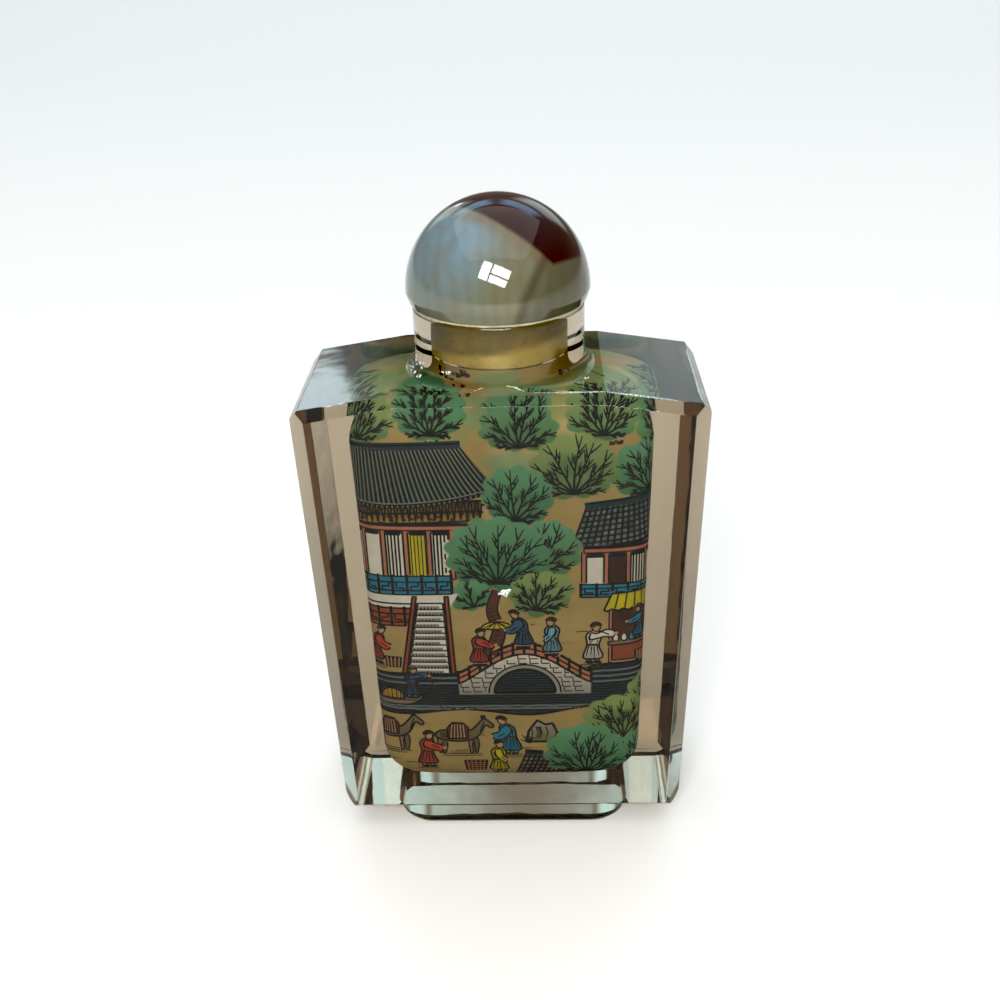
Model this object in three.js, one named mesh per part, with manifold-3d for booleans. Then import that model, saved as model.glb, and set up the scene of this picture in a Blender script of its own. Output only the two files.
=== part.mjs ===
// A clear glass snuff bottle: a flat rectangular block with ground edges, sloping shoulders, a short round neck
// and a low foot, hollow inside for the snuff, closed by a domed agate cap on a cork plug.
// Millimetres, +Z up, X across the broad face, front face towards -Y, origin under the middle of the foot.
import * as THREE from "three";
import { mergeVertices } from "three/addons/utils/BufferGeometryUtils.js";
import Module from "manifold-3d";

// ---- Driving dimensions ----
const WIDTH = 50; // across the shoulders
const WIDTH_BELOW = 46.4; // across the bottom: the sides lean in
const DEPTH = 23; // between the broad faces
const FOOT_HEIGHT = 2.6;
const SHOULDER_Z = 62.7; // where shoulder and side planes meet
const SHOULDER_SLOPE = 0.152; // rise for each millimetre towards the neck
const LANDING_HALF = 12.4; // half width of the level ground round the neck
const NECK_RADIUS = 10.4;
const NECK_TOP = 72.7;
const NECK_FILLET = 1.6; // sweep of the neck into the landing
const LIP_ROUND = 0.5;

const CORNER_CHAMFER = 2; // along the four upright edges
const EDGE_BEVEL = 1.2; // round the shoulders and the underside
const BOTTOM_CORNER = 2.6; // rounded corners of the broad faces

const FOOT_HALF = [16, 10.9]; // half length and half depth
const FOOT_CORNER = 5;
const FOOT_BEVEL = 0.5;

// The hollow: an oblong room with rounded edges that narrows to a round bore.
const ROOM_HALF = [18.6, 7]; // half width below the shoulders, half depth
const ROOM_HALF_BELOW = 17.6; // half width near the floor
const ROOM_FLOOR = 5.65;
const ROOM_SHOULDER = 61.6; // height of the room's shoulder at its outer corner
const ROOM_CORNER = 5.5; // radius of the corners, as seen from the front
const ROOM_SHOULDER_RISE = 0.13; // rise for each millimetre towards the bore
const ROOM_SQUARENESS = 5; // superellipse power of a level section: 2 is an ellipse
const BORE_RADIUS = 5.3;
const BORE_FILLET = 2.4; // sweep of the room's roof into the bore

// The stopper.
const CAP_RADIUS = 11.1;
const CAP_SEAT_RADIUS = 10.75; // radius of the cap's underside
const CAP_TAPER = 1.2; // height over which the ball is drawn in to the seat
const CAP_GAP = 0.3; // between the seat and the lip, and between the seat and the plug
const PLUG_RADIUS = 5;
const PLUG_LENGTH = 6.7;

const NECK_SIDES = 60;
const CAP_SIDES = 60;
const ROOM_SIDES = 48;
const FAR = 200; // larger than the object, for the cutting blocks

const wasm = await Module();
wasm.setup();

// ---- Solids ----

// A closed geometry as a solid that can be joined and cut.
function solid(geometry) {
  const bare = geometry.clone();
  bare.deleteAttribute("normal");
  bare.deleteAttribute("uv");
  const merged = mergeVertices(bare, 1e-4);
  return new wasm.Manifold(
    new wasm.Mesh({
      numProp: 3,
      vertProperties: merged.getAttribute("position").array,
      triVerts: new Uint32Array(merged.index.array),
    }),
  );
}

function geometryOf(made) {
  const mesh = made.getMesh();
  const geometry = new THREE.BufferGeometry();
  geometry.setAttribute("position", new THREE.BufferAttribute(mesh.vertProperties, 3));
  geometry.setIndex(new THREE.BufferAttribute(mesh.triVerts, 1));
  geometry.computeVertexNormals();
  return geometry;
}

// Takes away all that lies beyond a plane, given by a point on it and its outward normal.
function grindFlat(made, point, normal) {
  const block = new THREE.BoxGeometry(FAR, FAR, FAR).translate(0, 0, FAR / 2);
  const turn = new THREE.Quaternion().setFromUnitVectors(new THREE.Vector3(0, 0, 1), normal);
  block.applyQuaternion(turn).translate(point.x, point.y, point.z);
  return made.subtract(solid(block));
}

// Grinds a flat of equal setback along the edge where two planes meet at the given point.
function bevelEdge(made, edgePoint, normalA, normalB, setback) {
  const bisector = normalA.clone().add(normalB).normalize();
  const alongA = normalB.clone().addScaledVector(normalA, -normalA.dot(normalB)).normalize();
  const onA = edgePoint.clone().addScaledVector(alongA, -setback);
  return grindFlat(made, onA, bisector);
}

// An outline in X and Z, drawn by the given shape, as a slab centred on Y = 0.
function uprightSlab(shape, depth) {
  return new THREE.ExtrudeGeometry(shape, { depth, bevelEnabled: false, curveSegments: 4 })
    .translate(0, 0, -depth / 2)
    .rotateX(Math.PI / 2);
}

// ---- The outside of the bottle ----

const SIDE_LEAN = Math.atan2((WIDTH - WIDTH_BELOW) / 2, SHOULDER_Z - FOOT_HEIGHT);
const LANDING_Z = SHOULDER_Z + SHOULDER_SLOPE * (WIDTH / 2 - LANDING_HALF);
const SHOULDER_TILT = Math.atan(SHOULDER_SLOPE);

// The broad face's outline: leaning sides, rounded lower corners, two sloping shoulders and the landing.
function bodyOutline() {
  const shape = new THREE.Shape();
  const half = WIDTH_BELOW / 2;
  const r = BOTTOM_CORNER;
  shape.moveTo(-half + r, FOOT_HEIGHT);
  shape.lineTo(half - r, FOOT_HEIGHT);
  shape.absarc(half - r, FOOT_HEIGHT + r, r, -Math.PI / 2, -SIDE_LEAN, false);
  shape.lineTo(WIDTH / 2, SHOULDER_Z);
  shape.lineTo(LANDING_HALF, LANDING_Z);
  shape.lineTo(-LANDING_HALF, LANDING_Z);
  shape.lineTo(-WIDTH / 2, SHOULDER_Z);
  shape.absarc(-half + r, FOOT_HEIGHT + r, r, Math.PI + SIDE_LEAN, Math.PI * 1.5, false);
  return shape;
}

function body() {
  let made = solid(uprightSlab(bodyOutline(), DEPTH));
  const up = new THREE.Vector3(0, 0, 1);
  const down = new THREE.Vector3(0, 0, -1);
  for (const x of [-1, 1]) {
    const side = new THREE.Vector3(x * Math.cos(SIDE_LEAN), 0, -Math.sin(SIDE_LEAN));
    const shoulder = new THREE.Vector3(x * Math.sin(SHOULDER_TILT), 0, Math.cos(SHOULDER_TILT));
    const outer = new THREE.Vector3((x * WIDTH) / 2, 0, SHOULDER_Z);
    made = bevelEdge(made, outer, side, shoulder, EDGE_BEVEL);
    for (const y of [-1, 1]) {
      const broad = new THREE.Vector3(0, y, 0);
      const corner = outer.clone().setY((y * DEPTH) / 2);
      made = bevelEdge(made, corner, broad, side, CORNER_CHAMFER);
      made = bevelEdge(made, corner, broad, shoulder, EDGE_BEVEL);
    }
  }
  for (const y of [-1, 1]) {
    const broad = new THREE.Vector3(0, y, 0);
    made = bevelEdge(made, new THREE.Vector3(0, (y * DEPTH) / 2, LANDING_Z), broad, up, EDGE_BEVEL);
    made = bevelEdge(made, new THREE.Vector3(0, (y * DEPTH) / 2, FOOT_HEIGHT), broad, down, EDGE_BEVEL);
  }
  return made;
}

// The neck with its fillet, from inside the block up to the lip. The fillet stops at the bevel's upper edge.
function neck() {
  const profile = new THREE.Path();
  const base = LANDING_Z - EDGE_BEVEL / 2;
  const sunk = LANDING_Z - 0.04; // keeps the fillet's thin edge inside the block
  const wide = NECK_RADIUS + NECK_FILLET;
  profile.moveTo(0, base);
  profile.lineTo(wide, base);
  profile.absarc(wide, sunk + NECK_FILLET, NECK_FILLET, -Math.PI / 2, -Math.PI, true);
  profile.absarc(NECK_RADIUS - LIP_ROUND, NECK_TOP - LIP_ROUND, LIP_ROUND, 0, Math.PI / 2, false);
  profile.lineTo(0, NECK_TOP);
  const turned = solid(new THREE.LatheGeometry(profile.getPoints(3), NECK_SIDES).rotateX(Math.PI / 2));
  const betweenBevels = solid(new THREE.BoxGeometry(FAR, DEPTH - 2 * EDGE_BEVEL + 0.5, FAR));
  return turned.intersect(betweenBevels);
}

function foot() {
  const [x, y] = FOOT_HALF.map((half) => half - FOOT_BEVEL);
  const r = FOOT_CORNER - FOOT_BEVEL;
  const shape = new THREE.Shape();
  shape.absarc(x - r, y - r, r, 0, Math.PI / 2, false);
  shape.absarc(-x + r, y - r, r, Math.PI / 2, Math.PI, false);
  shape.absarc(-x + r, -y + r, r, Math.PI, Math.PI * 1.5, false);
  shape.absarc(x - r, -y + r, r, Math.PI * 1.5, Math.PI * 2, false);
  const depth = FOOT_HEIGHT + EDGE_BEVEL; // runs up into the block
  return solid(
    new THREE.ExtrudeGeometry(shape, {
      depth,
      curveSegments: 6,
      bevelSize: FOOT_BEVEL,
      bevelThickness: FOOT_BEVEL,
      bevelSegments: 2,
    }).translate(0, 0, FOOT_BEVEL),
  );
}

// ---- The hollow ----

// The room's half width and height from its floor to the lip, as a curve in X and Z.
function roomProfile() {
  const [wide] = ROOM_HALF;
  const path = new THREE.Path();
  const r = ROOM_CORNER;
  const tilt = Math.atan(ROOM_SHOULDER_RISE);
  const roofAt = (x) => ROOM_SHOULDER + ROOM_SHOULDER_RISE * (wide - x);
  const cornerX = wide - r;
  const cornerZ = roofAt(cornerX) - r / Math.cos(tilt);
  const filletX = BORE_RADIUS + BORE_FILLET;
  const filletZ = roofAt(filletX) + BORE_FILLET / Math.cos(tilt);
  path.absarc(ROOM_HALF_BELOW - r, ROOM_FLOOR + r, r, -Math.PI / 2, 0, false);
  path.absarc(cornerX, cornerZ, r, 0, Math.PI / 2 - tilt, false);
  path.absarc(filletX, filletZ, BORE_FILLET, -Math.PI / 2 - tilt, -Math.PI, true);
  path.lineTo(BORE_RADIUS, NECK_TOP + 1);
  return path.getPoints(4);
}

// Half depth and squareness of the level section where the profile is half wide at height z.
function roomSection(half, z) {
  const [, deep] = ROOM_HALF;
  const floorRound = Math.min(1, (z - ROOM_FLOOR) / ROOM_CORNER);
  const floorDepth = deep - 0.72 * ROOM_CORNER * (1 - Math.sqrt(1 - (1 - floorRound) ** 2));
  const rise = THREE.MathUtils.smoothstep(z, ROOM_SHOULDER - ROOM_CORNER, ROOM_SHOULDER + 2 * BORE_FILLET);
  const closing = THREE.MathUtils.smoothstep(half, BORE_RADIUS, ROOM_HALF[0] - ROOM_CORNER);
  return {
    halfDepth: THREE.MathUtils.lerp(floorDepth, BORE_RADIUS, rise),
    power: THREE.MathUtils.lerp(2, ROOM_SQUARENESS, closing),
  };
}

// The room and the bore as one closed loft of level superellipse rings.
function hollow() {
  const rings = roomProfile().map(({ x: half, y: z }) => {
    const { halfDepth, power } = roomSection(half, z);
    return Array.from({ length: ROOM_SIDES }, (_, i) => {
      const angle = (i / ROOM_SIDES) * 2 * Math.PI;
      const [c, s] = [Math.cos(angle), Math.sin(angle)];
      const reach = (v) => Math.sign(v) * Math.abs(v) ** (2 / power);
      return [half * reach(c), halfDepth * reach(s), z];
    });
  });
  const points = rings.flat();
  const triangles = [];
  for (let ring = 0; ring + 1 < rings.length; ring++)
    for (let i = 0; i < ROOM_SIDES; i++) {
      const [a, b] = [ring * ROOM_SIDES + i, ring * ROOM_SIDES + ((i + 1) % ROOM_SIDES)];
      triangles.push(a, b, b + ROOM_SIDES, a, b + ROOM_SIDES, a + ROOM_SIDES);
    }
  const capRing = (ring, faceUp) => {
    const centre = points.push([0, 0, rings[ring][0][2]]) - 1;
    for (let i = 0; i < ROOM_SIDES; i++) {
      const [a, b] = [ring * ROOM_SIDES + i, ring * ROOM_SIDES + ((i + 1) % ROOM_SIDES)];
      triangles.push(centre, ...(faceUp ? [a, b] : [b, a]));
    }
  };
  capRing(0, false);
  capRing(rings.length - 1, true);
  const geometry = new THREE.BufferGeometry();
  geometry.setAttribute("position", new THREE.Float32BufferAttribute(points.flat(), 3));
  geometry.setIndex(triangles);
  return solid(geometry);
}

function bottleGeometry() {
  return geometryOf(body().add(neck()).add(foot()).subtract(hollow()));
}

// ---- The stopper ----

// A polished half ball, drawn in below its widest line to a flat seat over the lip.
function capGeometry() {
  const seat = NECK_TOP + CAP_GAP;
  const profile = new THREE.Path();
  profile.moveTo(0, seat);
  profile.lineTo(CAP_SEAT_RADIUS, seat);
  profile.absarc(0, seat + CAP_TAPER, CAP_RADIUS, 0, Math.PI / 2, false);
  const points = profile.getPoints(11);
  points[points.length - 1].x = 0;
  return new THREE.LatheGeometry(points, CAP_SIDES).rotateX(Math.PI / 2);
}

function plugGeometry() {
  const ease = 0.4;
  const bottom = NECK_TOP - PLUG_LENGTH;
  const profile = new THREE.Path();
  profile.moveTo(0, bottom);
  profile.lineTo(PLUG_RADIUS - ease, bottom);
  profile.lineTo(PLUG_RADIUS, bottom + ease);
  profile.lineTo(PLUG_RADIUS, NECK_TOP);
  profile.lineTo(0, NECK_TOP);
  return new THREE.LatheGeometry(profile.getPoints(), NECK_SIDES / 2).rotateX(Math.PI / 2);
}

// ---- The object ----

const glass = new THREE.MeshStandardMaterial({ color: 0xc9d6d4, roughness: 0.03, transparent: true, opacity: 0.35 });
const agate = new THREE.MeshStandardMaterial({ color: 0x8a8f78, roughness: 0.06 });
const cork = new THREE.MeshStandardMaterial({ color: 0x8f7436, roughness: 0.8 });

function piece(name, geometry, material) {
  const mesh = new THREE.Mesh(geometry, material);
  mesh.name = name;
  return mesh;
}

const snuffBottle = new THREE.Group();
snuffBottle.add(
  piece("bottle", bottleGeometry(), glass),
  piece("stopper_cap", capGeometry(), agate),
  piece("stopper_plug", plugGeometry(), cork),
);
export default snuffBottle;
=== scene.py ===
"""The looks of a clear glass snuff bottle with a painted room and an agate stopper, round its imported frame.

Lengths below are millimetres unless they say otherwise; Blender gets metres.
"""

from math import atan, atan2, copysign, cos, pi, radians, sin, sqrt, tan

import bmesh
import bpy
import numpy as np
from mathutils import Matrix, Vector


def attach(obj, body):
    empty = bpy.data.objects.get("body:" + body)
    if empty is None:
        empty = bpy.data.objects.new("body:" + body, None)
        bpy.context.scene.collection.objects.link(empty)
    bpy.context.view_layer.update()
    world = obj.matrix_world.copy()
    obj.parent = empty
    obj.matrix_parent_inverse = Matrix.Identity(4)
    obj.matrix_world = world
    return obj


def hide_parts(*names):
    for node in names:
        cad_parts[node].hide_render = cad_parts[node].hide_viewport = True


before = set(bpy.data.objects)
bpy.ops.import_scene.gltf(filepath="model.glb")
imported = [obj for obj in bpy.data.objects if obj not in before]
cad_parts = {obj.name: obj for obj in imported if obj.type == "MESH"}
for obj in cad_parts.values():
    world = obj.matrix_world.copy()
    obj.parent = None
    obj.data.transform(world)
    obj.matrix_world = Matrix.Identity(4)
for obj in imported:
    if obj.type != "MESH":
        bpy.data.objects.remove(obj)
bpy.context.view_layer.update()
MM = 0.001

# ---- Sizes, the same as the solids' ----
WIDTH, WIDTH_BELOW, DEPTH = 50.0, 46.4, 23.0
FOOT_HEIGHT, SHOULDER_Z, SHOULDER_SLOPE, LANDING_HALF = 2.6, 62.7, 0.152, 12.4
NECK_RADIUS, NECK_TOP, NECK_FILLET, LIP_ROUND = 10.4, 72.7, 1.6, 0.5
CORNER_CHAMFER, EDGE_BEVEL, BOTTOM_CORNER = 2.0, 1.2, 2.6
FOOT_HALF, FOOT_CORNER, FOOT_BEVEL = (16.0, 10.9), 5.0, 0.5
ROOM_WIDE, ROOM_DEEP, ROOM_WIDE_BELOW = 18.6, 7.0, 17.6
ROOM_FLOOR, ROOM_SHOULDER, ROOM_CORNER = 5.65, 61.6, 5.5
ROOM_RISE, ROOM_SQUARENESS = 0.13, 5.0
BORE_RADIUS, BORE_FILLET = 5.3, 2.4
CAP_RADIUS, CAP_SEAT_RADIUS, CAP_TAPER, CAP_GAP = 11.1, 10.75, 1.2, 0.3
PLUG_LENGTH = 6.7

LANDING_Z = SHOULDER_Z + SHOULDER_SLOPE * (WIDTH / 2 - LANDING_HALF)
SIDE_LEAN = atan2((WIDTH - WIDTH_BELOW) / 2, SHOULDER_Z - FOOT_HEIGHT)
SHOULDER_TILT = atan(SHOULDER_SLOPE)
ARRIS = 0.3  # how far the ground edges are eased
NECK_SUNK = 0.02  # how far the neck's fillet dips into the landing, so that the join is clean
NECK_SIDES, CAP_SIDES, PLUG_SIDES, ROOM_SIDES, WAX_SIDES = 192, 160, 96, 168, 220
CONTACT = 0.03  # how deep ink and cork lie in the glass's wall, so that no air shows between them

# ---- Looks ----
DISPLAY_POWER = 1.85  # the studio's display curve, close enough for picking colours
GLASS_IOR, AGATE_IOR = 1.51, 1.54
GLASS_TINT, GLASS_DENSITY = (0.433, 0.275, 0.017, 1), 54.0
SWELL_SCALE, SWELL_DEPTH = 150, 0.00005  # the faint waves of polished glass, their depth in metres
# Pale lines along the eased edges are partly wear and partly painted highlight.
EDGE_LINE_DEPTH = 0.035  # how far an eased edge lies under the sharp one
AGATE_GAIN, CORK_GAIN, WAX_GAIN = 0.57, 1.5, 0.9
LAYER_LEAN = radians(27.6)  # how far the agate's layers lean back from the upright


# ---- Meshes ----


def new_object(name, mesh):
    piece = bpy.data.objects.new(name, mesh)
    bpy.context.scene.collection.objects.link(piece)
    return piece


def mesh_from(name, points, faces):
    mesh = bpy.data.meshes.new(name)
    mesh.from_pydata([tuple(c * MM for c in p) for p in points], [], faces)
    mesh.update()
    return mesh


def mesh_of(bm, name):
    mesh = bpy.data.meshes.new(name)
    bm.to_mesh(mesh)
    bm.free()
    return mesh


def ring_faces(rings, sides):
    """Faces between closed rings of points that follow one another."""
    faces = []
    for k in range(rings - 1):
        for i in range(sides):
            a, b = k * sides, (i + 1) % sides
            faces.append((a + i, a + b, a + sides + b, a + sides + i))
    return faces


def end_caps(rings, sides):
    """The flat first and last faces of stacked rings."""
    return [tuple(reversed(range(sides))), tuple(range((rings - 1) * sides, rings * sides))]


def turned(profile, sides, squash=None):
    """Points and faces of a closed turned solid. The profile runs up from the axis and back to it."""
    rings = [(r, z) for r, z in profile if r > 1e-6]
    points = []
    for r, z in rings:
        for i in range(sides):
            a = 2 * pi * i / sides
            x, y = r * cos(a), r * sin(a)
            points.append((x, max(-squash, min(squash, y)) if squash else y, z))
    faces = ring_faces(len(rings), sides)
    for k, flip in ((0, True), (len(rings) - 1, False)):
        points.append((0, 0, profile[0][1] if flip else profile[-1][1]))
        c = len(points) - 1
        for i in range(sides):
            a, b = k * sides + i, k * sides + (i + 1) % sides
            faces.append((c, b, a) if flip else (c, a, b))
    return points, faces


def arc(cx, cz, r, start, end, steps):
    angles = (start + (end - start) * i / steps for i in range(steps + 1))
    return [(cx + r * cos(a), cz + r * sin(a)) for a in angles]


def boolean(base, tool, operation):
    """The base mesh joined with or cut by the tool's, as a new mesh."""
    a, b = new_object("a", base), new_object("b", tool)
    step = a.modifiers.new("step", "BOOLEAN")
    step.object, step.operation, step.solver = b, operation, "MANIFOLD"
    made = bpy.data.meshes.new_from_object(a.evaluated_get(bpy.context.evaluated_depsgraph_get()))
    bpy.data.objects.remove(a)
    bpy.data.objects.remove(b)
    return made


def dress(piece, material, crisp=None):
    """Gives a piece its material and its body; crisp keeps edges above that angle sharp, in degrees."""
    piece.data.materials.clear()
    piece.data.materials.append(material)
    if crisp:
        piece.data.shade_smooth()
        piece.data.set_sharp_from_angle(angle=radians(crisp))
        step = piece.modifiers.new("normals", "WEIGHTED_NORMAL")
        step.keep_sharp = True
        step.weight = 100
    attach(piece, "root")


# ---- Node helpers ----


def new_material(name, **values):
    """A material and its tree, with plain values on the shader's own sockets."""
    material = bpy.data.materials.new(name)
    material.use_nodes = True
    shader = material.node_tree.nodes["Principled BSDF"]
    for socket, value in values.items():
        shader.inputs[socket.replace("_", " ")].default_value = value
    return material, material.node_tree, shader


def wire(tree, source, socket):
    """Links an output to an input, or sets a plain value on it."""
    if isinstance(source, bpy.types.NodeSocket):
        tree.links.new(source, socket)
    else:
        socket.default_value = source


def mapped(tree, value, low, high, to_low=0.0, to_high=1.0):
    """The value moved from one range to another, with a smooth step between."""
    node = tree.nodes.new("ShaderNodeMapRange")
    node.interpolation_type = "SMOOTHSTEP"
    names = ("From Min", "From Max", "To Min", "To Max", "Value")
    for name, v in zip(names, (low, high, to_low, to_high, value)):
        wire(tree, v, node.inputs[name])
    return node.outputs["Result"]


def maths(tree, operation, a, b=0.0):
    node = tree.nodes.new("ShaderNodeMath")
    node.operation = operation
    wire(tree, a, node.inputs[0])
    wire(tree, b, node.inputs[1])
    return node.outputs["Value"]


def vector_maths(tree, operation, a, b, result="Vector"):
    node = tree.nodes.new("ShaderNodeVectorMath")
    node.operation = operation
    wire(tree, a, node.inputs[0])
    wire(tree, b, node.inputs[3] if operation == "SCALE" else node.inputs[1])
    return node.outputs[result]


def mixed(tree, factor, a, b):
    node = tree.nodes.new("ShaderNodeMix")
    node.data_type = "RGBA"
    for name, v in (("Factor", factor), ("A", a), ("B", b)):
        if isinstance(v, tuple):
            v = (*v, 1)
        wire(tree, v, [i for i in node.inputs if i.name == name and i.enabled][0])
    return [o for o in node.outputs if o.enabled][0]


def noise(tree, vector, scale, detail, distortion=0.0, result="Fac"):
    node = tree.nodes.new("ShaderNodeTexNoise")
    names = ("Vector", "Scale", "Detail", "Distortion")
    for name, v in zip(names, (vector, scale, detail, distortion)):
        wire(tree, v, node.inputs[name])
    return node.outputs[result]


def object_place(tree):
    """Where a point is on the object, in metres."""
    return tree.nodes.new("ShaderNodeTexCoord").outputs["Object"]


def bump(tree, shader, height, distance, strength=1.0):
    node = tree.nodes.new("ShaderNodeBump")
    wire(tree, height, node.inputs["Height"])
    node.inputs["Distance"].default_value = distance
    node.inputs["Strength"].default_value = strength
    wire(tree, node.outputs["Normal"], shader.inputs["Normal"])


def tone(r, g, b, gain):
    """The linear base colour that the studio light shows as this display colour."""
    return tuple(min(0.93, gain * (v / 255) ** DISPLAY_POWER) for v in (r, g, b))


# ---- The glass ----


def grind(bm, point, normal):
    """Cuts a convex mesh by a plane and closes the cut."""
    cut = bmesh.ops.bisect_plane(
        bm,
        geom=bm.verts[:] + bm.edges[:] + bm.faces[:],
        dist=1e-9,
        plane_co=Vector(point) * MM,
        plane_no=Vector(normal),
        clear_outer=True,
    )
    edges = [e for e in cut["geom_cut"] if isinstance(e, bmesh.types.BMEdge) and e.is_valid]
    if edges:
        bmesh.ops.contextual_create(bm, geom=edges)


def bevel_plane(edge_point, a, b, setback):
    """The plane that takes the same setback off both planes that meet at the point."""
    a, b = Vector(a).normalized(), Vector(b).normalized()
    along = (b - a * a.dot(b)).normalized()
    return Vector(edge_point) - along * setback, (a + b).normalized()


def block():
    """The body without its neck and foot: a leaning-sided slab, ground along its edges."""
    half, r = WIDTH_BELOW / 2, BOTTOM_CORNER
    right = arc(half - r, FOOT_HEIGHT + r, r, -pi / 2, -SIDE_LEAN, 14)
    right += [(WIDTH / 2, SHOULDER_Z), (LANDING_HALF, LANDING_Z)]
    outline = right + [(-x, z) for x, z in reversed(right)]
    n = len(outline)
    points = [(x, -DEPTH / 2, z) for x, z in outline] + [(x, DEPTH / 2, z) for x, z in outline]
    faces = [tuple(range(n)), tuple(reversed(range(n, 2 * n)))]
    faces += [(i, i + n, (i + 1) % n + n, (i + 1) % n) for i in range(n)]
    bm = bmesh.new()
    bm.from_mesh(mesh_from("block", points, faces))
    planes = []
    for x in (-1, 1):
        side = (x * cos(SIDE_LEAN), 0, -sin(SIDE_LEAN))
        shoulder = (x * sin(SHOULDER_TILT), 0, cos(SHOULDER_TILT))
        planes.append(bevel_plane((x * WIDTH / 2, 0, SHOULDER_Z), side, shoulder, EDGE_BEVEL))
        for y in (-1, 1):
            corner = (x * WIDTH / 2, y * DEPTH / 2, SHOULDER_Z)
            planes.append(bevel_plane(corner, (0, y, 0), side, CORNER_CHAMFER))
            planes.append(bevel_plane(corner, (0, y, 0), shoulder, EDGE_BEVEL))
    for y in (-1, 1):
        for z, up in ((LANDING_Z, 1), (FOOT_HEIGHT, -1)):
            planes.append(bevel_plane((0, y * DEPTH / 2, z), (0, y, 0), (0, 0, up), EDGE_BEVEL))
    for point, normal in planes:
        grind(bm, point, normal)
    bmesh.ops.recalc_face_normals(bm, faces=bm.faces)
    ground_angle = radians(7.5)
    sharp = [e for e in bm.edges if len(e.link_faces) == 2 and e.calc_face_angle() > ground_angle]
    bmesh.ops.bevel(
        bm, geom=sharp, offset=ARRIS * MM, segments=4, profile=0.5, affect="EDGES", clamp_overlap=True
    )
    return mesh_of(bm, "block")


def neck():
    wide = NECK_RADIUS + NECK_FILLET
    low, sunk = LANDING_Z - EDGE_BEVEL / 2, LANDING_Z - NECK_SUNK
    profile = [(0, low), (wide, low)]
    profile += arc(wide, sunk + NECK_FILLET, NECK_FILLET, -pi / 2, -pi, 12)
    profile += arc(NECK_RADIUS - LIP_ROUND, NECK_TOP - LIP_ROUND, LIP_ROUND, 0, pi / 2, 6)
    profile += [(0, NECK_TOP)]
    flat = DEPTH / 2 - EDGE_BEVEL + 0.25  # the fillet is cut off just past where the bevel starts
    return mesh_from("neck", *turned(profile, NECK_SIDES, squash=flat))


def foot():
    """A low rounded oblong that runs up into the block."""
    (hx, hy), r, b = FOOT_HALF, FOOT_CORNER, FOOT_BEVEL
    corners = ((hx - r, hy - r), (r - hx, hy - r), (r - hx, r - hy), (hx - r, r - hy))
    rings = [(b * (1 - sin(a)), b * (1 - cos(a))) for a in (0, 0.4, 0.8, 1.2, pi / 2)]
    rings.append((0, FOOT_HEIGHT + EDGE_BEVEL))
    points = []
    for inset, z in rings:
        for k, (cx, cy) in enumerate(corners):
            for x, y in arc(cx, cy, r - inset, k * pi / 2, (k + 1) * pi / 2, 14):
                points.append((x, y, z))
    n = len(points) // len(rings)
    return mesh_from("foot", points, ring_faces(len(rings), n) + end_caps(len(rings), n))


# ---- The room inside, as level rings ----


def room_profile(steps):
    """Half widths and heights of the room from the edge of its floor to above the lip."""
    tilt = atan(ROOM_RISE)

    def roof(x):
        return ROOM_SHOULDER + ROOM_RISE * (ROOM_WIDE - x)

    corner_x, r = ROOM_WIDE - ROOM_CORNER, ROOM_CORNER
    fillet_x = BORE_RADIUS + BORE_FILLET
    low = arc(ROOM_WIDE_BELOW - r, ROOM_FLOOR + r, r, -pi / 2, 0, steps)
    high = arc(corner_x, roof(corner_x) - r / cos(tilt), r, 0, pi / 2 - tilt, steps)
    fillet_z = roof(fillet_x) + BORE_FILLET / cos(tilt)
    bore = arc(fillet_x, fillet_z, BORE_FILLET, -pi / 2 - tilt, -pi, steps)
    return low + high + bore + [(BORE_RADIUS, NECK_TOP + 1)]


def smoothstep(v, low, high):
    t = min(1.0, max(0.0, (v - low) / (high - low)))
    return t * t * (3 - 2 * t)


def room_section(half, z):
    """Half depth and superellipse power of the level ring at the height."""
    rounding = min(1.0, (z - ROOM_FLOOR) / ROOM_CORNER)
    deep = ROOM_DEEP - 0.72 * ROOM_CORNER * (1 - sqrt(max(0.0, 1 - (1 - rounding) ** 2)))
    closing = smoothstep(z, ROOM_SHOULDER - ROOM_CORNER, ROOM_SHOULDER + 2 * BORE_FILLET)
    square = smoothstep(half, BORE_RADIUS, ROOM_WIDE - ROOM_CORNER)
    return deep + (BORE_RADIUS - deep) * closing, 2 + (ROOM_SQUARENESS - 2) * square


def room():
    sides, profile, points = ROOM_SIDES, room_profile(20), []
    for half, z in profile:
        deep, power = room_section(half, z)
        for i in range(sides):
            c, s = cos(2 * pi * i / sides), sin(2 * pi * i / sides)
            x = copysign(abs(c) ** (2 / power), c) * half
            points.append((x, copysign(abs(s) ** (2 / power), s) * deep, z))
    n = len(profile)
    return mesh_from("room", points, ring_faces(n, sides) + end_caps(n, sides))


def glass_material():
    """Clear glass with a faint warm tint that shows where the light goes a long way through it."""
    clear = {"Base_Color": (0.98, 0.985, 0.98, 1), "Roughness": 0.0, "Transmission_Weight": 1.0}
    material, tree, shader = new_material("clear_glass", IOR=GLASS_IOR, **clear)
    bump(tree, shader, noise(tree, object_place(tree), SWELL_SCALE, 2), SWELL_DEPTH)
    tint = tree.nodes.new("ShaderNodeVolumeAbsorption")
    tint.inputs["Color"].default_value = GLASS_TINT
    tint.inputs["Density"].default_value = GLASS_DENSITY
    tree.links.new(tint.outputs["Volume"], tree.nodes["Material Output"].inputs["Volume"])
    return material


def build_glass():
    made = boolean(boolean(block(), neck(), "UNION"), foot(), "UNION")
    piece = new_object("glass_bottle", boolean(made, room(), "DIFFERENCE"))
    dress(piece, glass_material(), crisp=26)
    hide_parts("bottle")


# ---- Chips in the glass, and pale edge lines that are partly wear and partly painted highlight ----


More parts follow.
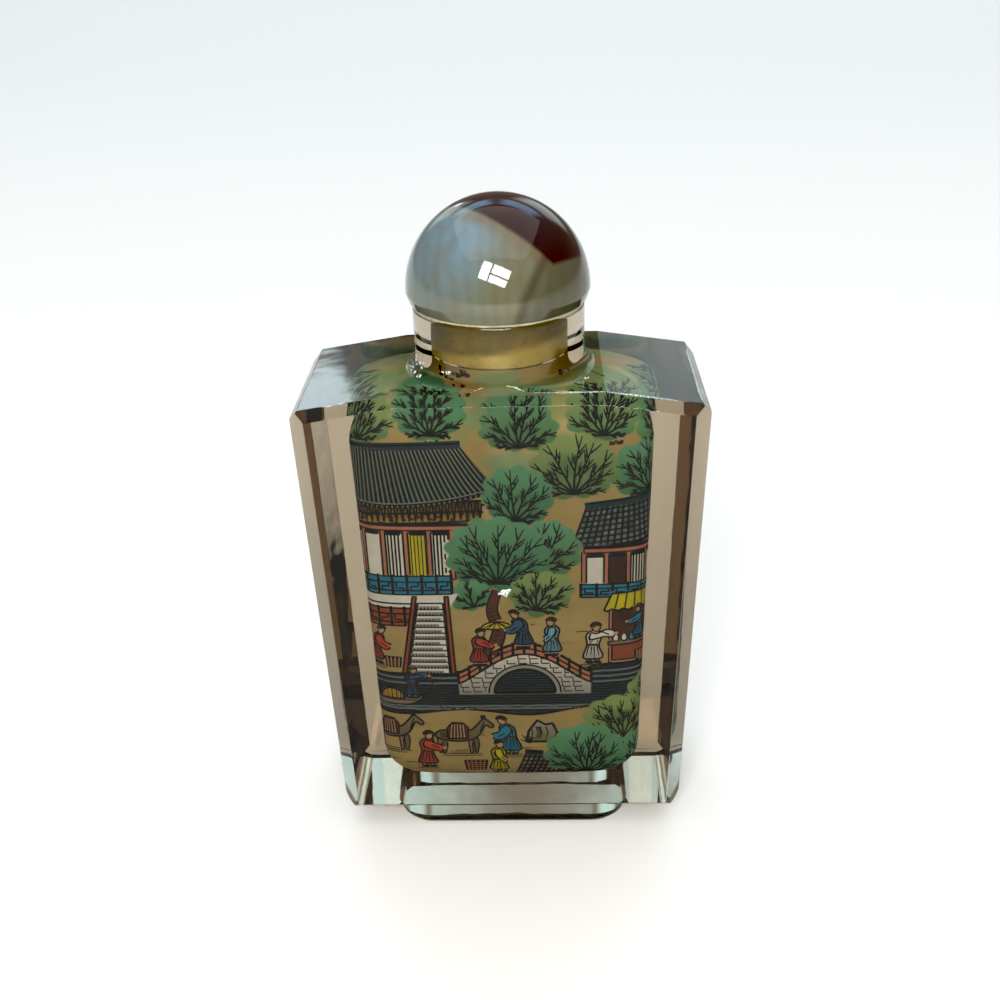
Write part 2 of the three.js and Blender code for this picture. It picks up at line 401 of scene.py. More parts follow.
def chip_and_highlight_material():
    """Bruised glass: white, sparkling and uneven. Its pale colour also draws the edge lines that are partly
    wear and partly painted highlight.
    """
    material, tree, shader = new_material("bruised_glass_and_painted_highlight", Roughness=0.16, Coat_Weight=0.5)
    speck = noise(tree, object_place(tree), 5200, 4)
    colour = mixed(tree, mapped(tree, speck, 0.38, 0.62), (0.16, 0.2, 0.2), (0.9, 0.96, 0.95))
    wire(tree, colour, shader.inputs["Base Color"])
    return material


def shard(bm, rng, centre, normal, across, size):
    """A flat, many-sided flake with rough facets; size is across, along and its height."""
    normal, across = Vector(normal).normalized(), Vector(across).normalized()
    along = normal.cross(across)
    made = bmesh.ops.create_icosphere(bm, subdivisions=2, radius=1.0)
    for v in made["verts"]:
        p = v.co * rng.uniform(0.72, 1.15)
        flat = across * p.x * size[0] / 2 + along * p.y * size[1] / 2
        v.co = (Vector(centre) + flat + normal * p.z * size[2]) * MM


def worn_highlight_line(bm, rng, start, end, normal, width):
    """A thin, uneven pale line along an eased edge, partly wear and partly a painted highlight."""
    start, end, normal = Vector(start), Vector(end), Vector(normal).normalized()
    across = (end - start).cross(normal).normalized()
    count = 60
    swell = np.convolve(rng.uniform(0, 1, count + 6), np.ones(7) / 7, "valid")
    last = None
    for t, wide in zip(np.linspace(0, 1, count), swell):
        narrowing = sqrt(sin(pi * min(max(t, 0.01), 0.99)))
        half = across * (width * (wide + 0.2) * narrowing)
        centre = start.lerp(end, t) - normal * EDGE_LINE_DEPTH
        pair = [bm.verts.new((centre - half) * MM), bm.verts.new((centre + half) * MM)]
        if last:
            bm.faces.new((*last, *reversed(pair)))
        last = pair


def neck_spot(azimuth, radius, z):
    """A place on the neck, by its angle from the front towards the right, with the ways out and across."""
    s, c = sin(radians(azimuth)), cos(radians(azimuth))
    return (radius * s, -radius * c, z), (s, -c, 0), (c, s, 0)


def build_chips_and_highlights():
    rng = np.random.default_rng(41)
    bm = bmesh.new()
    low = LANDING_Z + NECK_FILLET
    for _ in range(15):  # the bruise at the foot of the neck, front left
        drop = rng.uniform(0, 1)
        radius = NECK_RADIUS + NECK_FILLET * (1 - sqrt(1 - drop**2)) * 0.9
        spot, out, across = neck_spot(rng.uniform(-79, -52), radius, low + 0.5 - 1.5 * drop)
        size = (rng.uniform(0.25, 0.75), rng.uniform(0.2, 0.5), 0.07)
        shard(bm, rng, spot, (out[0], out[1], drop), across, size)
    for _ in range(6):  # a smaller one further round
        spot, out, across = neck_spot(rng.uniform(-41, -32), NECK_RADIUS, low + rng.uniform(0.1, 0.7))
        shard(bm, rng, spot, out, across, (rng.uniform(0.3, 0.7), rng.uniform(0.12, 0.3), 0.05))
    for azimuth, size in ((60, (1.0, 0.62, 0.05)), (52, (0.4, 0.14, 0.04))):  # on the shoulder
        spot, _, across = neck_spot(azimuth, NECK_RADIUS + NECK_FILLET, LANDING_Z)
        shard(bm, rng, spot, (0, 0, 1), across, size)
    spots = ((0.0, 38.2, 1.1, 0.9), (0.6, 38.5, 0.6, 0.5), (-0.6, 38.0, 0.5, 0.4), (0.2, 37.7, 0.5, 0.3))
    for x, z, wide, high in spots:  # the bright spot in the middle of the front
        shard(bm, rng, (x, -DEPTH / 2, z), (0, -1, 0), (1, 0, 0), (wide, high, 0.04))
    half_way = pi / 8  # an eased edge faces half way between the top and its bevel
    ledge = EDGE_BEVEL - DEPTH / 2
    # Pale lines along the front shoulders' eased edges, partly wear and partly painted highlight.
    for x0, x1, width in ((4.0, 12.4, 0.2), (12.4, 21.0, 0.2), (-20.8, -17.8, 0.18)):  # front shoulders
        rises = [SHOULDER_Z + SHOULDER_SLOPE * (WIDTH / 2 - abs(x)) for x in (x0, x1)]
        ends = [(x, ledge, min(z, LANDING_Z)) for x, z in zip((x0, x1), rises)]
        worn_highlight_line(bm, rng, *ends, (0, -sin(half_way), cos(half_way)), width)
    side_x, level = WIDTH / 2 - EDGE_BEVEL, SHOULDER_Z + SHOULDER_SLOPE * EDGE_BEVEL
    out = (sin(half_way + SHOULDER_TILT), 0, 1)
    # Pale lines down the right shoulder's bevel, partly wear and partly painted highlight.
    for y0, y1, width in ((-9.4, -3.0, 0.42), (-3.4, 2.4, 0.28), (2.0, 7.4, 0.34)):  # down the right one
        worn_highlight_line(bm, rng, (side_x, y0, level), (side_x, y1, level), out, width)
    dress(new_object("glass_chips_and_highlights", mesh_of(bm, "glass_chips_and_highlights")), chip_and_highlight_material())


# ---- The stopper ----


def layer_axis(across, up, forward):
    """A direction in the stone: across the bottle, up the leaning layers, and out of their face."""
    c, s = cos(LAYER_LEAN), sin(LAYER_LEAN)
    return across, up * s - forward * c, up * c + forward * s


def agate_material():
    """Milky chalcedony, blue-white on one side and olive below, with a maroon layer across one shoulder."""
    polish = {"Coat_Weight": 0.3, "Coat_Roughness": 0.02, "IOR": AGATE_IOR}
    glow = {"Subsurface_Weight": 0.15, "Subsurface_Radius": (1.0, 0.9, 0.8), "Subsurface_Scale": 0.0012}
    material, tree, shader = new_material("agate", **polish, **glow)
    pale, deep = ((124, 150, 162), (122, 123, 98), (124, 108, 80)), ((88, 86, 66), (58, 46, 34))
    milk, olive, ochre, dusk, brown = (tone(*rgb, AGATE_GAIN) for rgb in (*pale, *deep))
    maroon, crimson = tone(34, 16, 12, AGATE_GAIN), tone(62, 18, 14, AGATE_GAIN)
    centre = (0, 0, (NECK_TOP + CAP_GAP + CAP_TAPER) * MM)
    place = vector_maths(tree, "SUBTRACT", object_place(tree), centre)
    place = vector_maths(tree, "SCALE", place, 1 / (CAP_RADIUS * MM))
    drift = vector_maths(tree, "SUBTRACT", noise(tree, place, 1.4, 4, result="Color"), (0.5, 0.5, 0.5))
    place = vector_maths(tree, "ADD", place, vector_maths(tree, "SCALE", drift, 0.11))

    def height(direction, start):
        along = vector_maths(tree, "DOT_PRODUCT", place, layer_axis(*direction), "Value")
        return maths(tree, "SUBTRACT", along, start)

    def layered(under, over, value, low, high, to_low=0.0, to_high=1.0):
        return mixed(tree, mapped(tree, value, low, high, to_low, to_high), under, over)

    to_milk = vector_maths(tree, "DISTANCE", place, layer_axis(-0.55, 0.42, 0.72), "Value")
    colour = layered(milk, olive, to_milk, 0.25, 1.0)
    colour = layered(colour, ochre, noise(tree, place, 2.6, 5, 0.6), 0.42, 0.7, 0, 0.35)
    upper = height((0.583, 0.812, -0.15), 0.286)
    lower = height((-0.406, 0.914, 0.1), -0.114)
    colour = layered(colour, ochre, upper, -0.2, -0.01, 0, 0.75)
    right = height((0.9, -0.42, 0.0), 0.42)
    colour = layered(colour, dusk, right, -0.06, 0.16, 0, 0.8)
    colour = layered(colour, brown, maths(tree, "ABSOLUTE", right), 0.0, 0.09, 0.55, 0)
    red = mixed(tree, noise(tree, place, 1.7, 3), maroon, crimson)
    colour = layered(colour, red, maths(tree, "MINIMUM", upper, lower), -0.02, 0.04)
    bands = tree.nodes.new("ShaderNodeTexWave")
    for name, v in (("Scale", 2.2), ("Distortion", 3.0), ("Detail", 3.0), ("Vector", place)):
        wire(tree, v, bands.inputs[name])
    fine = mapped(tree, bands.outputs["Fac"], 0.0, 1.0, 0.97, 1.03)
    wire(tree, vector_maths(tree, "SCALE", colour, fine), shader.inputs["Base Color"])
    wire(tree, mapped(tree, noise(tree, place, 60, 4), 0.3, 0.8, 0.02, 0.07), shader.inputs["Roughness"])
    return material


def build_cap():
    seat = NECK_TOP + CAP_GAP
    profile = [(0, seat), (CAP_SEAT_RADIUS - 0.25, seat)]
    profile += arc(CAP_SEAT_RADIUS - 0.2, seat + 0.2, 0.2, -pi / 2, -0.3, 4)
    profile += arc(0, seat + CAP_TAPER, CAP_RADIUS, 0, pi / 2, 64)[:-1]
    profile += [(0, seat + CAP_TAPER + CAP_RADIUS)]
    piece = new_object("agate_cap", mesh_from("agate_cap", *turned(profile, CAP_SIDES)))
    dress(piece, agate_material(), crisp=30)
    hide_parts("stopper_cap")


def cork_material():
    """Amber-brown cork, darker above as painted shade, with a paler slanting stretch below painted as light
    falling on it.
    """
    material, tree, shader = new_material("cork", Roughness=0.6)
    place = object_place(tree)
    grain, blotch = noise(tree, place, 900, 6), noise(tree, place, 260, 3, 0.5)
    amber, brown, pale = (tone(*rgb, CORK_GAIN) for rgb in ((122, 104, 44), (104, 92, 42), (164, 146, 70)))
    colour = mixed(tree, mapped(tree, blotch, 0.35, 0.7), amber, brown)
    # The paler stretch at the cork's slanting lower end is painted light; the darker cork above it is painted
    # shade.
    slant = vector_maths(tree, "DOT_PRODUCT", place, (-0.14, 0.0, 1.0), "Value")
    bottom = (NECK_TOP - PLUG_LENGTH) * MM
    colour = mixed(tree, mapped(tree, slant, bottom + 0.0028, bottom + 0.0016), colour, pale)
    pores = mapped(tree, grain, 0.3, 0.5, 0.82, 1.0)
    wire(tree, vector_maths(tree, "SCALE", colour, pores), shader.inputs["Base Color"])
    bump(tree, shader, grain, 0.0002, 0.5)
    return material


def build_plug():
    radius, low, chamfer = BORE_RADIUS + CONTACT, NECK_TOP - PLUG_LENGTH, 0.4
    profile = [(0, low), (radius - chamfer, low), (radius, low + chamfer), (radius, NECK_TOP), (0, NECK_TOP)]
    piece = new_object("cork_plug", mesh_from("cork_plug", *turned(profile, PLUG_SIDES)))
    dress(piece, cork_material(), crisp=30)
    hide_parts("stopper_plug")


def build_seat():
    """A ragged line of old wax between the lip and the cap."""
    rng = np.random.default_rng(5)
    sides, section = WAX_SIDES, [(False, 0.0), (False, 1.0), (True, 0.9), (True, 0.1)]
    inner, phases = NECK_RADIUS - 1.4, rng.uniform(0, 2 * pi, 6)
    points, faces = [], []
    for i in range(sides):
        a = 2 * pi * i / sides
        ragged = sum(sin(a * k + p) for k, p in zip((7, 13, 23, 37, 59, 83), phases)) / 6
        outer = NECK_RADIUS + 0.1 + 0.2 * ragged
        for out, up in section:
            r = outer if out else inner
            points.append((r * cos(a), r * sin(a), NECK_TOP + CAP_GAP * up))
    n = len(section)
    for i in range(sides):
        for k in range(n):
            here, ahead, j = i * n, (i + 1) % sides * n, (k + 1) % n
            faces.append((here + k, ahead + k, ahead + j, here + j))
    material, tree, shader = new_material("wax", Roughness=0.45)
    dull, pale = tone(120, 114, 82, WAX_GAIN), tone(206, 204, 178, WAX_GAIN)
    wire(tree, mixed(tree, noise(tree, object_place(tree), 900, 3), dull, pale), shader.inputs["Base Color"])
    dress(new_object("seat_wax", mesh_from("seat_wax", points, faces)), material, crisp=40)


# ---- The painting: flat colours on the film, ink lines as fine ribbons over it ----
# Both broad walls are drawn flat, in millimetres across from the middle (x) and up from the foot (z),
# and laid round the wall of the room by arc length.

TOP_OF_FILM = 66.2
DRAW_HALF, DRAW_LOW, DRAW_HIGH, DRAW_STEP = 27.0, 6.0, 67.0, 0.06
PIGMENT_GAIN = 1.0
LINE_WEIGHT = 1.2


def ink(r, g, b):
    """A pigment's linear colour from the display colour it should show behind the glass."""
    return tone(r, g, b, PIGMENT_GAIN)


BLACK, BROWN_INK = ink(22, 20, 14), ink(58, 36, 22)
GROUND, TAN_DARK, CREAM = ink(170, 148, 90), ink(122, 108, 66), ink(206, 188, 130)
MOSS, GREEN, JADE, PALE_GREEN = ink(78, 116, 66), ink(58, 116, 76), ink(98, 160, 116), ink(146, 170, 98)
TEAL, TEAL_LINE, NAVY_DEEP = ink(26, 52, 58), ink(122, 132, 112), ink(34, 46, 60)
SLATE, TILE, TILE_WARM = ink(36, 52, 62), ink(108, 120, 116), ink(128, 108, 88)
RUST, RUST_DARK, ROSE = ink(148, 72, 44), ink(84, 46, 32), ink(186, 116, 88)
BLUE, SKY_BLUE, NAVY = ink(40, 128, 166), ink(112, 172, 190), ink(48, 82, 112)
RED, YELLOW, OCHRE = ink(190, 68, 50), ink(206, 194, 30), ink(176, 136, 48)
WHITE, GREY, SKIN = ink(226, 228, 218), ink(150, 150, 142), ink(190, 150, 104)
LEAF, OLD_LEAF, MOSSY = (GREEN, JADE), (MOSS, PALE_GREEN), (MOSS, JADE)


class Picture:
    """Colours on a fine grid, and ink lines as polylines with their half widths.

    covered holds how many lines there were when a cell was last painted over, so that older
    lines are left out where newer paint hides them.
    """

    def __init__(self, seed, ground):
        self.rng = np.random.default_rng(seed)
        self.size = int((DRAW_HIGH - DRAW_LOW) / DRAW_STEP), int(2 * DRAW_HALF / DRAW_STEP)
        self.image = np.empty((*self.size, 3))
        self.image[:] = ground
        self.covered = np.zeros(self.size, int)
        self.strokes = []

    def any_of(self, low, high):
        return self.rng.uniform(low, high)

    def window(self, x0, x1, z0, z1):
        """The part of the grid that covers a box, with the coordinates of its cells."""
        found = []
        for low, high, start, most in ((z0, z1, DRAW_LOW, self.size[0]), (x0, x1, -DRAW_HALF, self.size[1])):
            first = int(np.clip((low - start) / DRAW_STEP, 0, most))
            last = int(np.clip((high - start) / DRAW_STEP + 1, 0, most))
            found.append((slice(first, last), start + (np.arange(first, last) + 0.5) * DRAW_STEP))
        (rows, zs), (cols, xs) = found
        return (rows, cols), *np.meshgrid(xs, zs)

    def lay(self, where, alpha, colour):
        part = self.image[where]
        part += alpha[..., None] * (colour - part)
        self.covered[where][alpha > 0.6] = len(self.strokes)

    def area(self, points, colour, top=None):
        """Fills a closed outline; with top, the colour changes to that one towards the top."""
        p = np.array(points, float)
        (x0, z0), (x1, z1) = p.min(axis=0), p.max(axis=0)
        where, gx, gz = self.window(x0, x1, z0, z1)
        inside = np.zeros(gx.shape, bool)
        for (ax, az), (bx, bz) in zip(p, np.roll(p, -1, axis=0)):
            if az != bz:
                inside ^= ((gz < az) != (gz < bz)) & (gx < (bx - ax) * (gz - az) / (bz - az) + ax)
        rise = ((gz - z0) / (z1 - z0))[..., None]
        low, high = np.array(colour), np.array(colour if top is None else top)
        self.lay(where, inside * 1.0, low + rise * (high - low))

    def wash(self, x, z, rx, rz, colour, strength, soft, ragged=0.14):
        """A soft-edged, uneven patch of colour."""
        reach = 1 + ragged * 2
        where, gx, gz = self.window(x - rx * reach, x + rx * reach, z - rz * reach, z + rz * reach)
        dx, dz = (gx - x) / rx, (gz - z) / rz
        angle = np.arctan2(dz, dx)
        phases = self.rng.uniform(0, 2 * pi, 4)
        wobble = sum(np.sin(angle * k + p) / k for k, p in zip((3, 5, 8, 13), phases))
        r = np.hypot(dx, dz) * (1 + ragged * wobble)
        self.lay(where, np.clip((1 - r) / soft, 0, 1) * strength, np.array(colour))

    def line(self, points, width, colour=BLACK, taper=0.0, over=0):
        """An ink line; taper thins it towards its end, and over lifts it over others."""
        p = np.array(points, float)
        t = np.linspace(0, 1, len(p))
        self.strokes.append((p, width / 2 * LINE_WEIGHT * (1 - taper * t), colour, over))

    def outline(self, points, colour, width, top=None, over=0):
        self.area(points, colour, top)
        self.line([*points, points[0]], width, over=over)

    def hides(self, k, x, z):
        """Whether newer paint covers line number k at each point."""
        r, c = (
            np.clip(((v - start) / DRAW_STEP).astype(int), 0, most - 1)
            for v, start, most in ((z, DRAW_LOW, self.size[0]), (x, -DRAW_HALF, self.size[1]))
        )
        return self.covered[r, c] > k


def smooth(points, steps=6, closed=False):
    """A Catmull-Rom curve through the points."""
    ends = (points[-1], points[0], points[1]) if closed else (points[0], points[-1])
    p = np.array([ends[0], *points, *ends[1:]], float)
    out = []
    for a, b, c, d in zip(p, p[1:], p[2:], p[3:]):
        for t in np.linspace(0, 1, steps, endpoint=False):
            cubic = (3 * b - a - 3 * c + d) * t**3
            out.append(0.5 * (2 * b + (c - a) * t + (2 * a - 5 * b + 4 * c - d) * t**2 + cubic))
    return out if closed else [*out, p[-2]]


def between(a, b, t):
    return (a[0] + (b[0] - a[0]) * t, a[1] + (b[1] - a[1]) * t)


def quad_point(quad, u, v):
    """A point in a four-cornered figure: u from left to right, v from bottom to top."""
    low, high = between(quad[0], quad[1], u), between(quad[3], quad[2], u)
    return between(low, high, v)


def level(quad, v, us):
    return [quad_point(quad, u, v) for u in us]


def upright(quad, u, vs=(0, 1)):
    return [quad_point(quad, u, v) for v in vs]


def box(x0, x1, z0, z1):
    return [(x0, z0), (x1, z0), (x1, z1), (x0, z1)]


def placer(x, z, w, facing):
    """Turns a figure's own coordinates into the picture's."""
    return lambda *points: [(x + u * w * facing, z + v * w) for u, v in points]


# -- Plants --


def twig(pic, x, z, angle, length, width, bend, colour):
    """A single bending twig. Returns its points and the directions at them."""
    angles = angle + bend * np.linspace(0, 1, 6)
    step = length / 5
    xs = x + np.concatenate([[0], np.cumsum(np.cos(angles[:-1]) * step)])
    zs = z + np.concatenate([[0], np.cumsum(np.sin(angles[:-1]) * step)])
    pic.line(np.stack([xs, zs], -1), width, colour, taper=0.55)
    return list(zip(xs, zs)), angles


def bough(pic, x, z, angle, length, width, colour):
    """A long twig with shorter, forked ones on alternate sides."""
    path, angles = twig(pic, x, z, angle, length, width, pic.any_of(-0.35, 0.35), colour)
    side = pic.rng.choice((-1, 1))
    for k in (2, 3, 4):
        for hand in (side, -side):
            reach = length * pic.any_of(0.26, 0.36) * (1.1 - 0.1 * k)
            start = between(path[k], path[k - 1], 0.5 if hand == side else 0.0)
            turn = hand * pic.any_of(0.5, 0.7)
            spray, aims = twig(pic, *start, angles[k] + turn, reach, width * 0.85, -turn * 0.45, colour)
            if k < 4:
                fork = -hand * pic.any_of(0.45, 0.6)
                twig(pic, *spray[2], aims[2] + fork, reach * 0.5, width * 0.7, -fork * 0.3, colour)
        side = -side


def crown(pic, x, z, rx, rz, leaf=LEAF, arms=8, spread=1.5, lean=0.0):
    """A clump of foliage: a lobed green patch, paler above, with a fan of boughs from its foot."""
    lobes, start = int(6 + (rx + rz) / 1.6), pic.any_of(0, pi)
    swell = pic.rng.uniform(-0.06, 0.06, 3)
    rim = []
    for a in np.linspace(0, 2 * pi, 90, endpoint=False):
        bulge = sum(s * sin(k * a) for k, s in enumerate(swell, 1))
        r = 0.9 + 0.13 * abs(sin(lobes / 2 * a + start)) + bulge
        rim.append((x + rx * r * cos(a), z + rz * r * sin(a)))
    pic.area(rim, *leaf)
    for _ in range(4):
        dx, dz = pic.any_of(-0.4, 0.4), pic.any_of(-0.45, 0.3)
        shade = MOSS if pic.rng.random() < 0.5 else leaf[0]
        pic.wash(x + dx * rx, z + dz * rz, rx * 0.42, rz * 0.36, shade, 0.45, 0.9)
    px, pz = -sin(lean) * 0.8, -cos(lean) * 0.8
    for k in range(arms):
        a = pi / 2 - lean + spread * (k / (arms - 1) - 0.5) * 2 + pic.any_of(-0.06, 0.06)
        dx, dz = cos(a) / rx, sin(a) / rz
        along, steep = px * dx + pz * dz, dx * dx + dz * dz
        reach = (-along + sqrt(along**2 - steep * (px * px + pz * pz - 1))) / steep
        bough(pic, x + px * rx, z + pz * rz, a, reach * pic.any_of(0.86, 1.0), 0.27, BLACK)


def bush(pic, x, z, w, colour):
    """A far bush, as a clump of short level dabs."""
    for _ in range(9):
        dx, dz = pic.any_of(-0.5, 0.5) * w, pic.any_of(0, 0.5) * w
        length, tilt = pic.any_of(0.1, 0.3) * w, pic.any_of(-0.15, 0.15)
        dab = [(x + dx, z + dz), (x + dx + length, z + dz + tilt)]
        pic.line(dab, pic.any_of(0.25, 0.6), colour, taper=0.4)


def grass(pic, x, z, w, count):
    """A tuft of blades."""
    for k in range(count):
        a = pi * (0.15 + 0.7 * k / (count - 1)) + pic.any_of(-0.1, 0.1)
        twig(pic, x, z, a, w * pic.any_of(0.6, 1.0), 0.24, pic.any_of(-0.3, 0.3), BLACK)


# -- Buildings --


def ribbed_roof(pic, quad, ribs, lift):
    """A dark roof of close ribs; its eaves sweep up towards the corners."""

    def at(u, v):
        x, z = quad_point(quad, u, v)
        sag = lift * 0.35 * sin(pi * v) * (1 - v)
        return x, z + lift * (1 - v) * (2 * u - 1) ** 2 * (1 - 0.3 * v) - sag

    def row(v, u0, u1, count):
        return [at(u, v) for u in np.linspace(u0, u1, count)]

    pic.area(row(0, 0, 1, 16) + row(1, 1, 0, 6), TEAL, SLATE)
    for k in range(ribs):
        u = (k + 0.5) / ribs
        pic.line([at(u, v) for v in np.linspace(0.02, 0.98, 7)], 0.13, TEAL_LINE)
        pic.line([at(u + 0.5 / ribs, v) for v in np.linspace(0.0, 1, 7)], 0.2)
    pic.line(row(1, -0.02, 1.02, 8), 0.85, SLATE, over=1)
    pic.line(row(1.02, -0.02, 1.02, 8), 0.2, over=2)
    pic.line(row(0.0, -0.01, 1.01, 16), 0.5, over=1)
    pic.line(row(0.055, -0.01, 1.01, 16), 0.16, TEAL_LINE, over=1)
    for k in range(ribs + 1):
        x, z = at(k / ribs, 0)
        pic.line([(x, z - 0.18), (x, z + 0.1)], 0.18, TILE, over=2)


def tiled_roof(pic, quad, cols, rows, base=SLATE, tile=TILE):
    """A roof of square tiles, each a lighter patch between dark joints."""
    pic.area(quad, base)
    for j in range(rows):
        for i in range(cols):
            corners = box((i + 0.16) / cols, (i + 0.86) / cols, (j + 0.2) / rows, (j + 0.84) / rows)
            shade = np.array(tile) * pic.any_of(0.45, 1.25)
            pic.area([quad_point(quad, u, v) for u, v in corners], shade)
    for i in range(cols + 1):
        pic.line(upright(quad, i / cols, np.linspace(0, 1, 4)), 0.24)
    for j in range(rows + 1):
        pic.line(level(quad, j / rows, np.linspace(0, 1, 5)), 0.2)
    pic.line(level(quad, 0, (-0.02, 0.5, 1.02)), 0.45)
    pic.line(level(quad, 1, (-0.03, 0.5, 1.03)), 0.8, TEAL, over=1)
    pic.line(level(quad, 1.04, (-0.03, 0.5, 1.03)), 0.2, over=2)


def bays(pic, x0, x1, z0, z1, fills):
    """The front of a hall: posts and beams round panels of bars, cloth, screens or plaster."""
    step, low, high = (x1 - x0) / len(fills), z0 + 0.4, z1 - 1.3
    colours = {"bars": WHITE, "cloth": YELLOW, "dark": BROWN_INK, "screen": OCHRE, "plaster": WHITE}
    pic.area(box(x0, x1, z0, z1), RUST_DARK)
    for k, kind in enumerate(fills):
        a, b = x0 + k * step + 0.35, x0 + (k + 1) * step - 0.35
        pic.outline(box(a, b, low, high), colours[kind], 0.16)
        if kind == "screen":
            for z in np.arange(low + 0.5, high, 0.6):
                pic.line([(a, z), (b, z)], 0.12, RUST_DARK)
        if kind in ("bars", "cloth", "screen"):
            for x in np.arange(a + 0.3, b - 0.1, 0.45):
                pic.line([(x, low + 0.1), (x, high - 0.1)], 0.2 if kind == "bars" else 0.12)
    pic.line([(x0, high), (x1, high)], 0.5)
    for k in range(len(fills) + 1):
        x = x0 + k * step
        pic.outline(box(x - 0.28, x + 0.28, z0, z1), ROSE, 0.16)
    pic.outline(box(x0, x1, z1 - 0.9, z1 - 0.25), ROSE, 0.17, over=1)
    pic.line([(x0, z1 - 0.1), (x1, z1 - 0.1)], 0.4, over=1)


def brackets(pic, x0, x1, z0, z1, tilt=0.0):
    """The ochre bracketing in the shade under an eave."""
    pic.area([(x0, z0), (x1, z0 + tilt), (x1, z1 + tilt), (x0, z1)], OCHRE, BROWN_INK)
    for x in np.arange(x0 + 0.3, x1, 0.8):
        rise = tilt * (x - x0) / (x1 - x0)
        for _ in range(3):
            a, b = x + pic.any_of(-0.4, 0.4), z0 + rise + pic.any_of(0, 1) * (z1 - z0)
            pic.line([(a, b), (a + 0.5, b - 0.1)], 0.3, BROWN_INK)
        pic.line([(x - 0.3, z1 + rise), (x, z0 + rise + 0.2), (x + 0.3, z1 + rise)], 0.2)
    for v in (0.0, 0.5, 1.0):
        z = z0 + (z1 - z0) * v
        pic.line([(x0, z), (x1, z + tilt)], 0.24)


def fret_rail(pic, start, end, height, posts, colour):
    """A timber rail with a fret of short bars between its posts."""
    quad = [start, end, (end[0], end[1] + height), (start[0], start[1] + height)]
    pic.area(quad, colour)
    for v in (0.0, 0.22, 0.68, 1.0):
        pic.line(level(quad, v, np.linspace(0, 1, 4)), 0.2)
    for k in range(posts + 1):
        u = k / posts
        pic.line(upright(quad, u, (0, 1.1)), 0.32)
        if k < posts:
            a, b = u + 0.25 / posts, u + 0.75 / posts
            up = [(a, 0.22), (a, 0.45), (b, 0.45), (b, 0.68)]
            down = [(a, 0.68), (a, 0.36), (b, 0.36), (b, 0.22)]
            pic.line([quad_point(quad, *p) for p in (up if k % 2 else down)], 0.2)


def steps(pic, quad, count):
    """Pale stone steps: each tread white, each riser a broken dark line."""
    pic.area(quad, WHITE)
    for k in range(count + 1):
        v = k / count
        broken = (pic.any_of(0, 0.1), pic.any_of(0.75, 1.0))
        pic.line(level(quad, v, (0, 1)), 0.18)
        if k < count:
            pic.line(level(quad, v + 0.3 / count, broken), 0.4, GREY)
            pic.line(level(quad, v + 0.16 / count, broken), 0.26)
    for u in (0, 1):
        pic.line(upright(quad, u, (0, 0.5, 1)), 0.34)


def hatched(pic, points, gap, pick):
    """Level lines across a closed outline; pick gives each line's colour."""
    p = np.array(points, float)
    for z in np.arange(p[:, 1].min() + gap / 2, p[:, 1].max(), gap):
        crossings = []
        for (ax, az), (bx, bz) in zip(p, np.roll(p, -1, axis=0)):
            if (az <= z) != (bz <= z):
                crossings.append(ax + (bx - ax) * (z - az) / (bz - az))
        crossings.sort()
        for a, b in zip(crossings[::2], crossings[1::2]):
            if b - a > 0.8:
                xs = np.linspace(a + 0.1, b - 0.1, max(3, int((b - a) / 1.2)))
                pic.line([(x, z + 0.05 * sin(x * 2 + z * 5)) for x in xs], 0.2, pick())


def water(pic, points):
    """Still dark water, drawn with close level lines."""
    pic.area(points, SLATE, NAVY_DEEP)
    hatched(pic, points, 0.42, lambda: BLACK if pic.rng.random() < 0.8 else TILE)


def arched_bridge(pic, x0, x1, z0, rise, deck):
    """A humped stone bridge with one arch and a railed deck. Returns the line of its deck."""
    xs = np.linspace(x0, x1, 25)
    top = [(x, z0 + rise * sin(pi * (x - x0) / (x1 - x0)) ** 1.3) for x in xs]
    middle, half, spring = (x0 + x1) / 2, (x1 - x0) * 0.23, z0 - 1.6

    def ring(grow):
        wide, high = half + grow, rise * 0.82 + grow
        turn = np.linspace(0, pi, 17)
        return [(middle + wide * cos(a), spring + high * sin(a)) for a in turn]

    def raised(share):
        return [(x, z + deck * share) for x, z in top]

    pic.area([*top, (x1, z0 - 1.8), (x0, z0 - 1.8)], GREY, WHITE)
    for z in np.arange(z0 - 1.4, z0 + rise, 0.75):
        for x in np.arange(x0 + pic.any_of(0, 1), x1 - 1.1, 1.5):
            roof = np.interp(x, xs, [p[1] for p in top])
            if z < roof - 0.3:
                pic.line([(x, z), (x + 1.1, z)], 0.16, BROWN_INK)
                pic.line([(x, z), (x, min(z + 0.6, roof - 0.1))], 0.14, BROWN_INK)
    pic.area(ring(0.75), GREY)
    pic.line(ring(0.75), 0.2)
    pic.outline(ring(0), SLATE, 0.34)
    hatched(pic, ring(0), 0.42, lambda: BLACK)
    pic.line(top, 0.3)
    pic.area(top + raised(1)[::-1], ROSE)
    for share, width in ((0.0, 0.24), (0.5, 0.2), (1.0, 0.34)):
        pic.line(raised(share), width)
    for x, z in top[::2]:
        pic.line([(x, z), (x, z + deck + 0.35)], 0.32, over=1)
    return top


# -- People and things --

# How far each pose leans, and where its hand is.
POSES = {
    "stand": (0.0, 0.18, 0.47),
    "carry": (0.05, 0.33, 0.58),
    "bow": (0.35, 0.36, 0.5),
    "point": (0.08, 0.42, 0.74),
}
FOLDS = (
    ((-0.09, 0.44), (-0.15, 0.17)),
    ((-0.03, 0.42), (-0.05, 0.2)),
    ((0.02, 0.42), (0.03, 0.13)),
    ((0.08, 0.44), (0.13, 0.18)),
    ((-0.12, 0.68), (-0.06, 0.5)),
    ((0.05, 0.81), (-0.05, 0.52)),
    ((0.11, 0.68), (0.07, 0.5)),
)


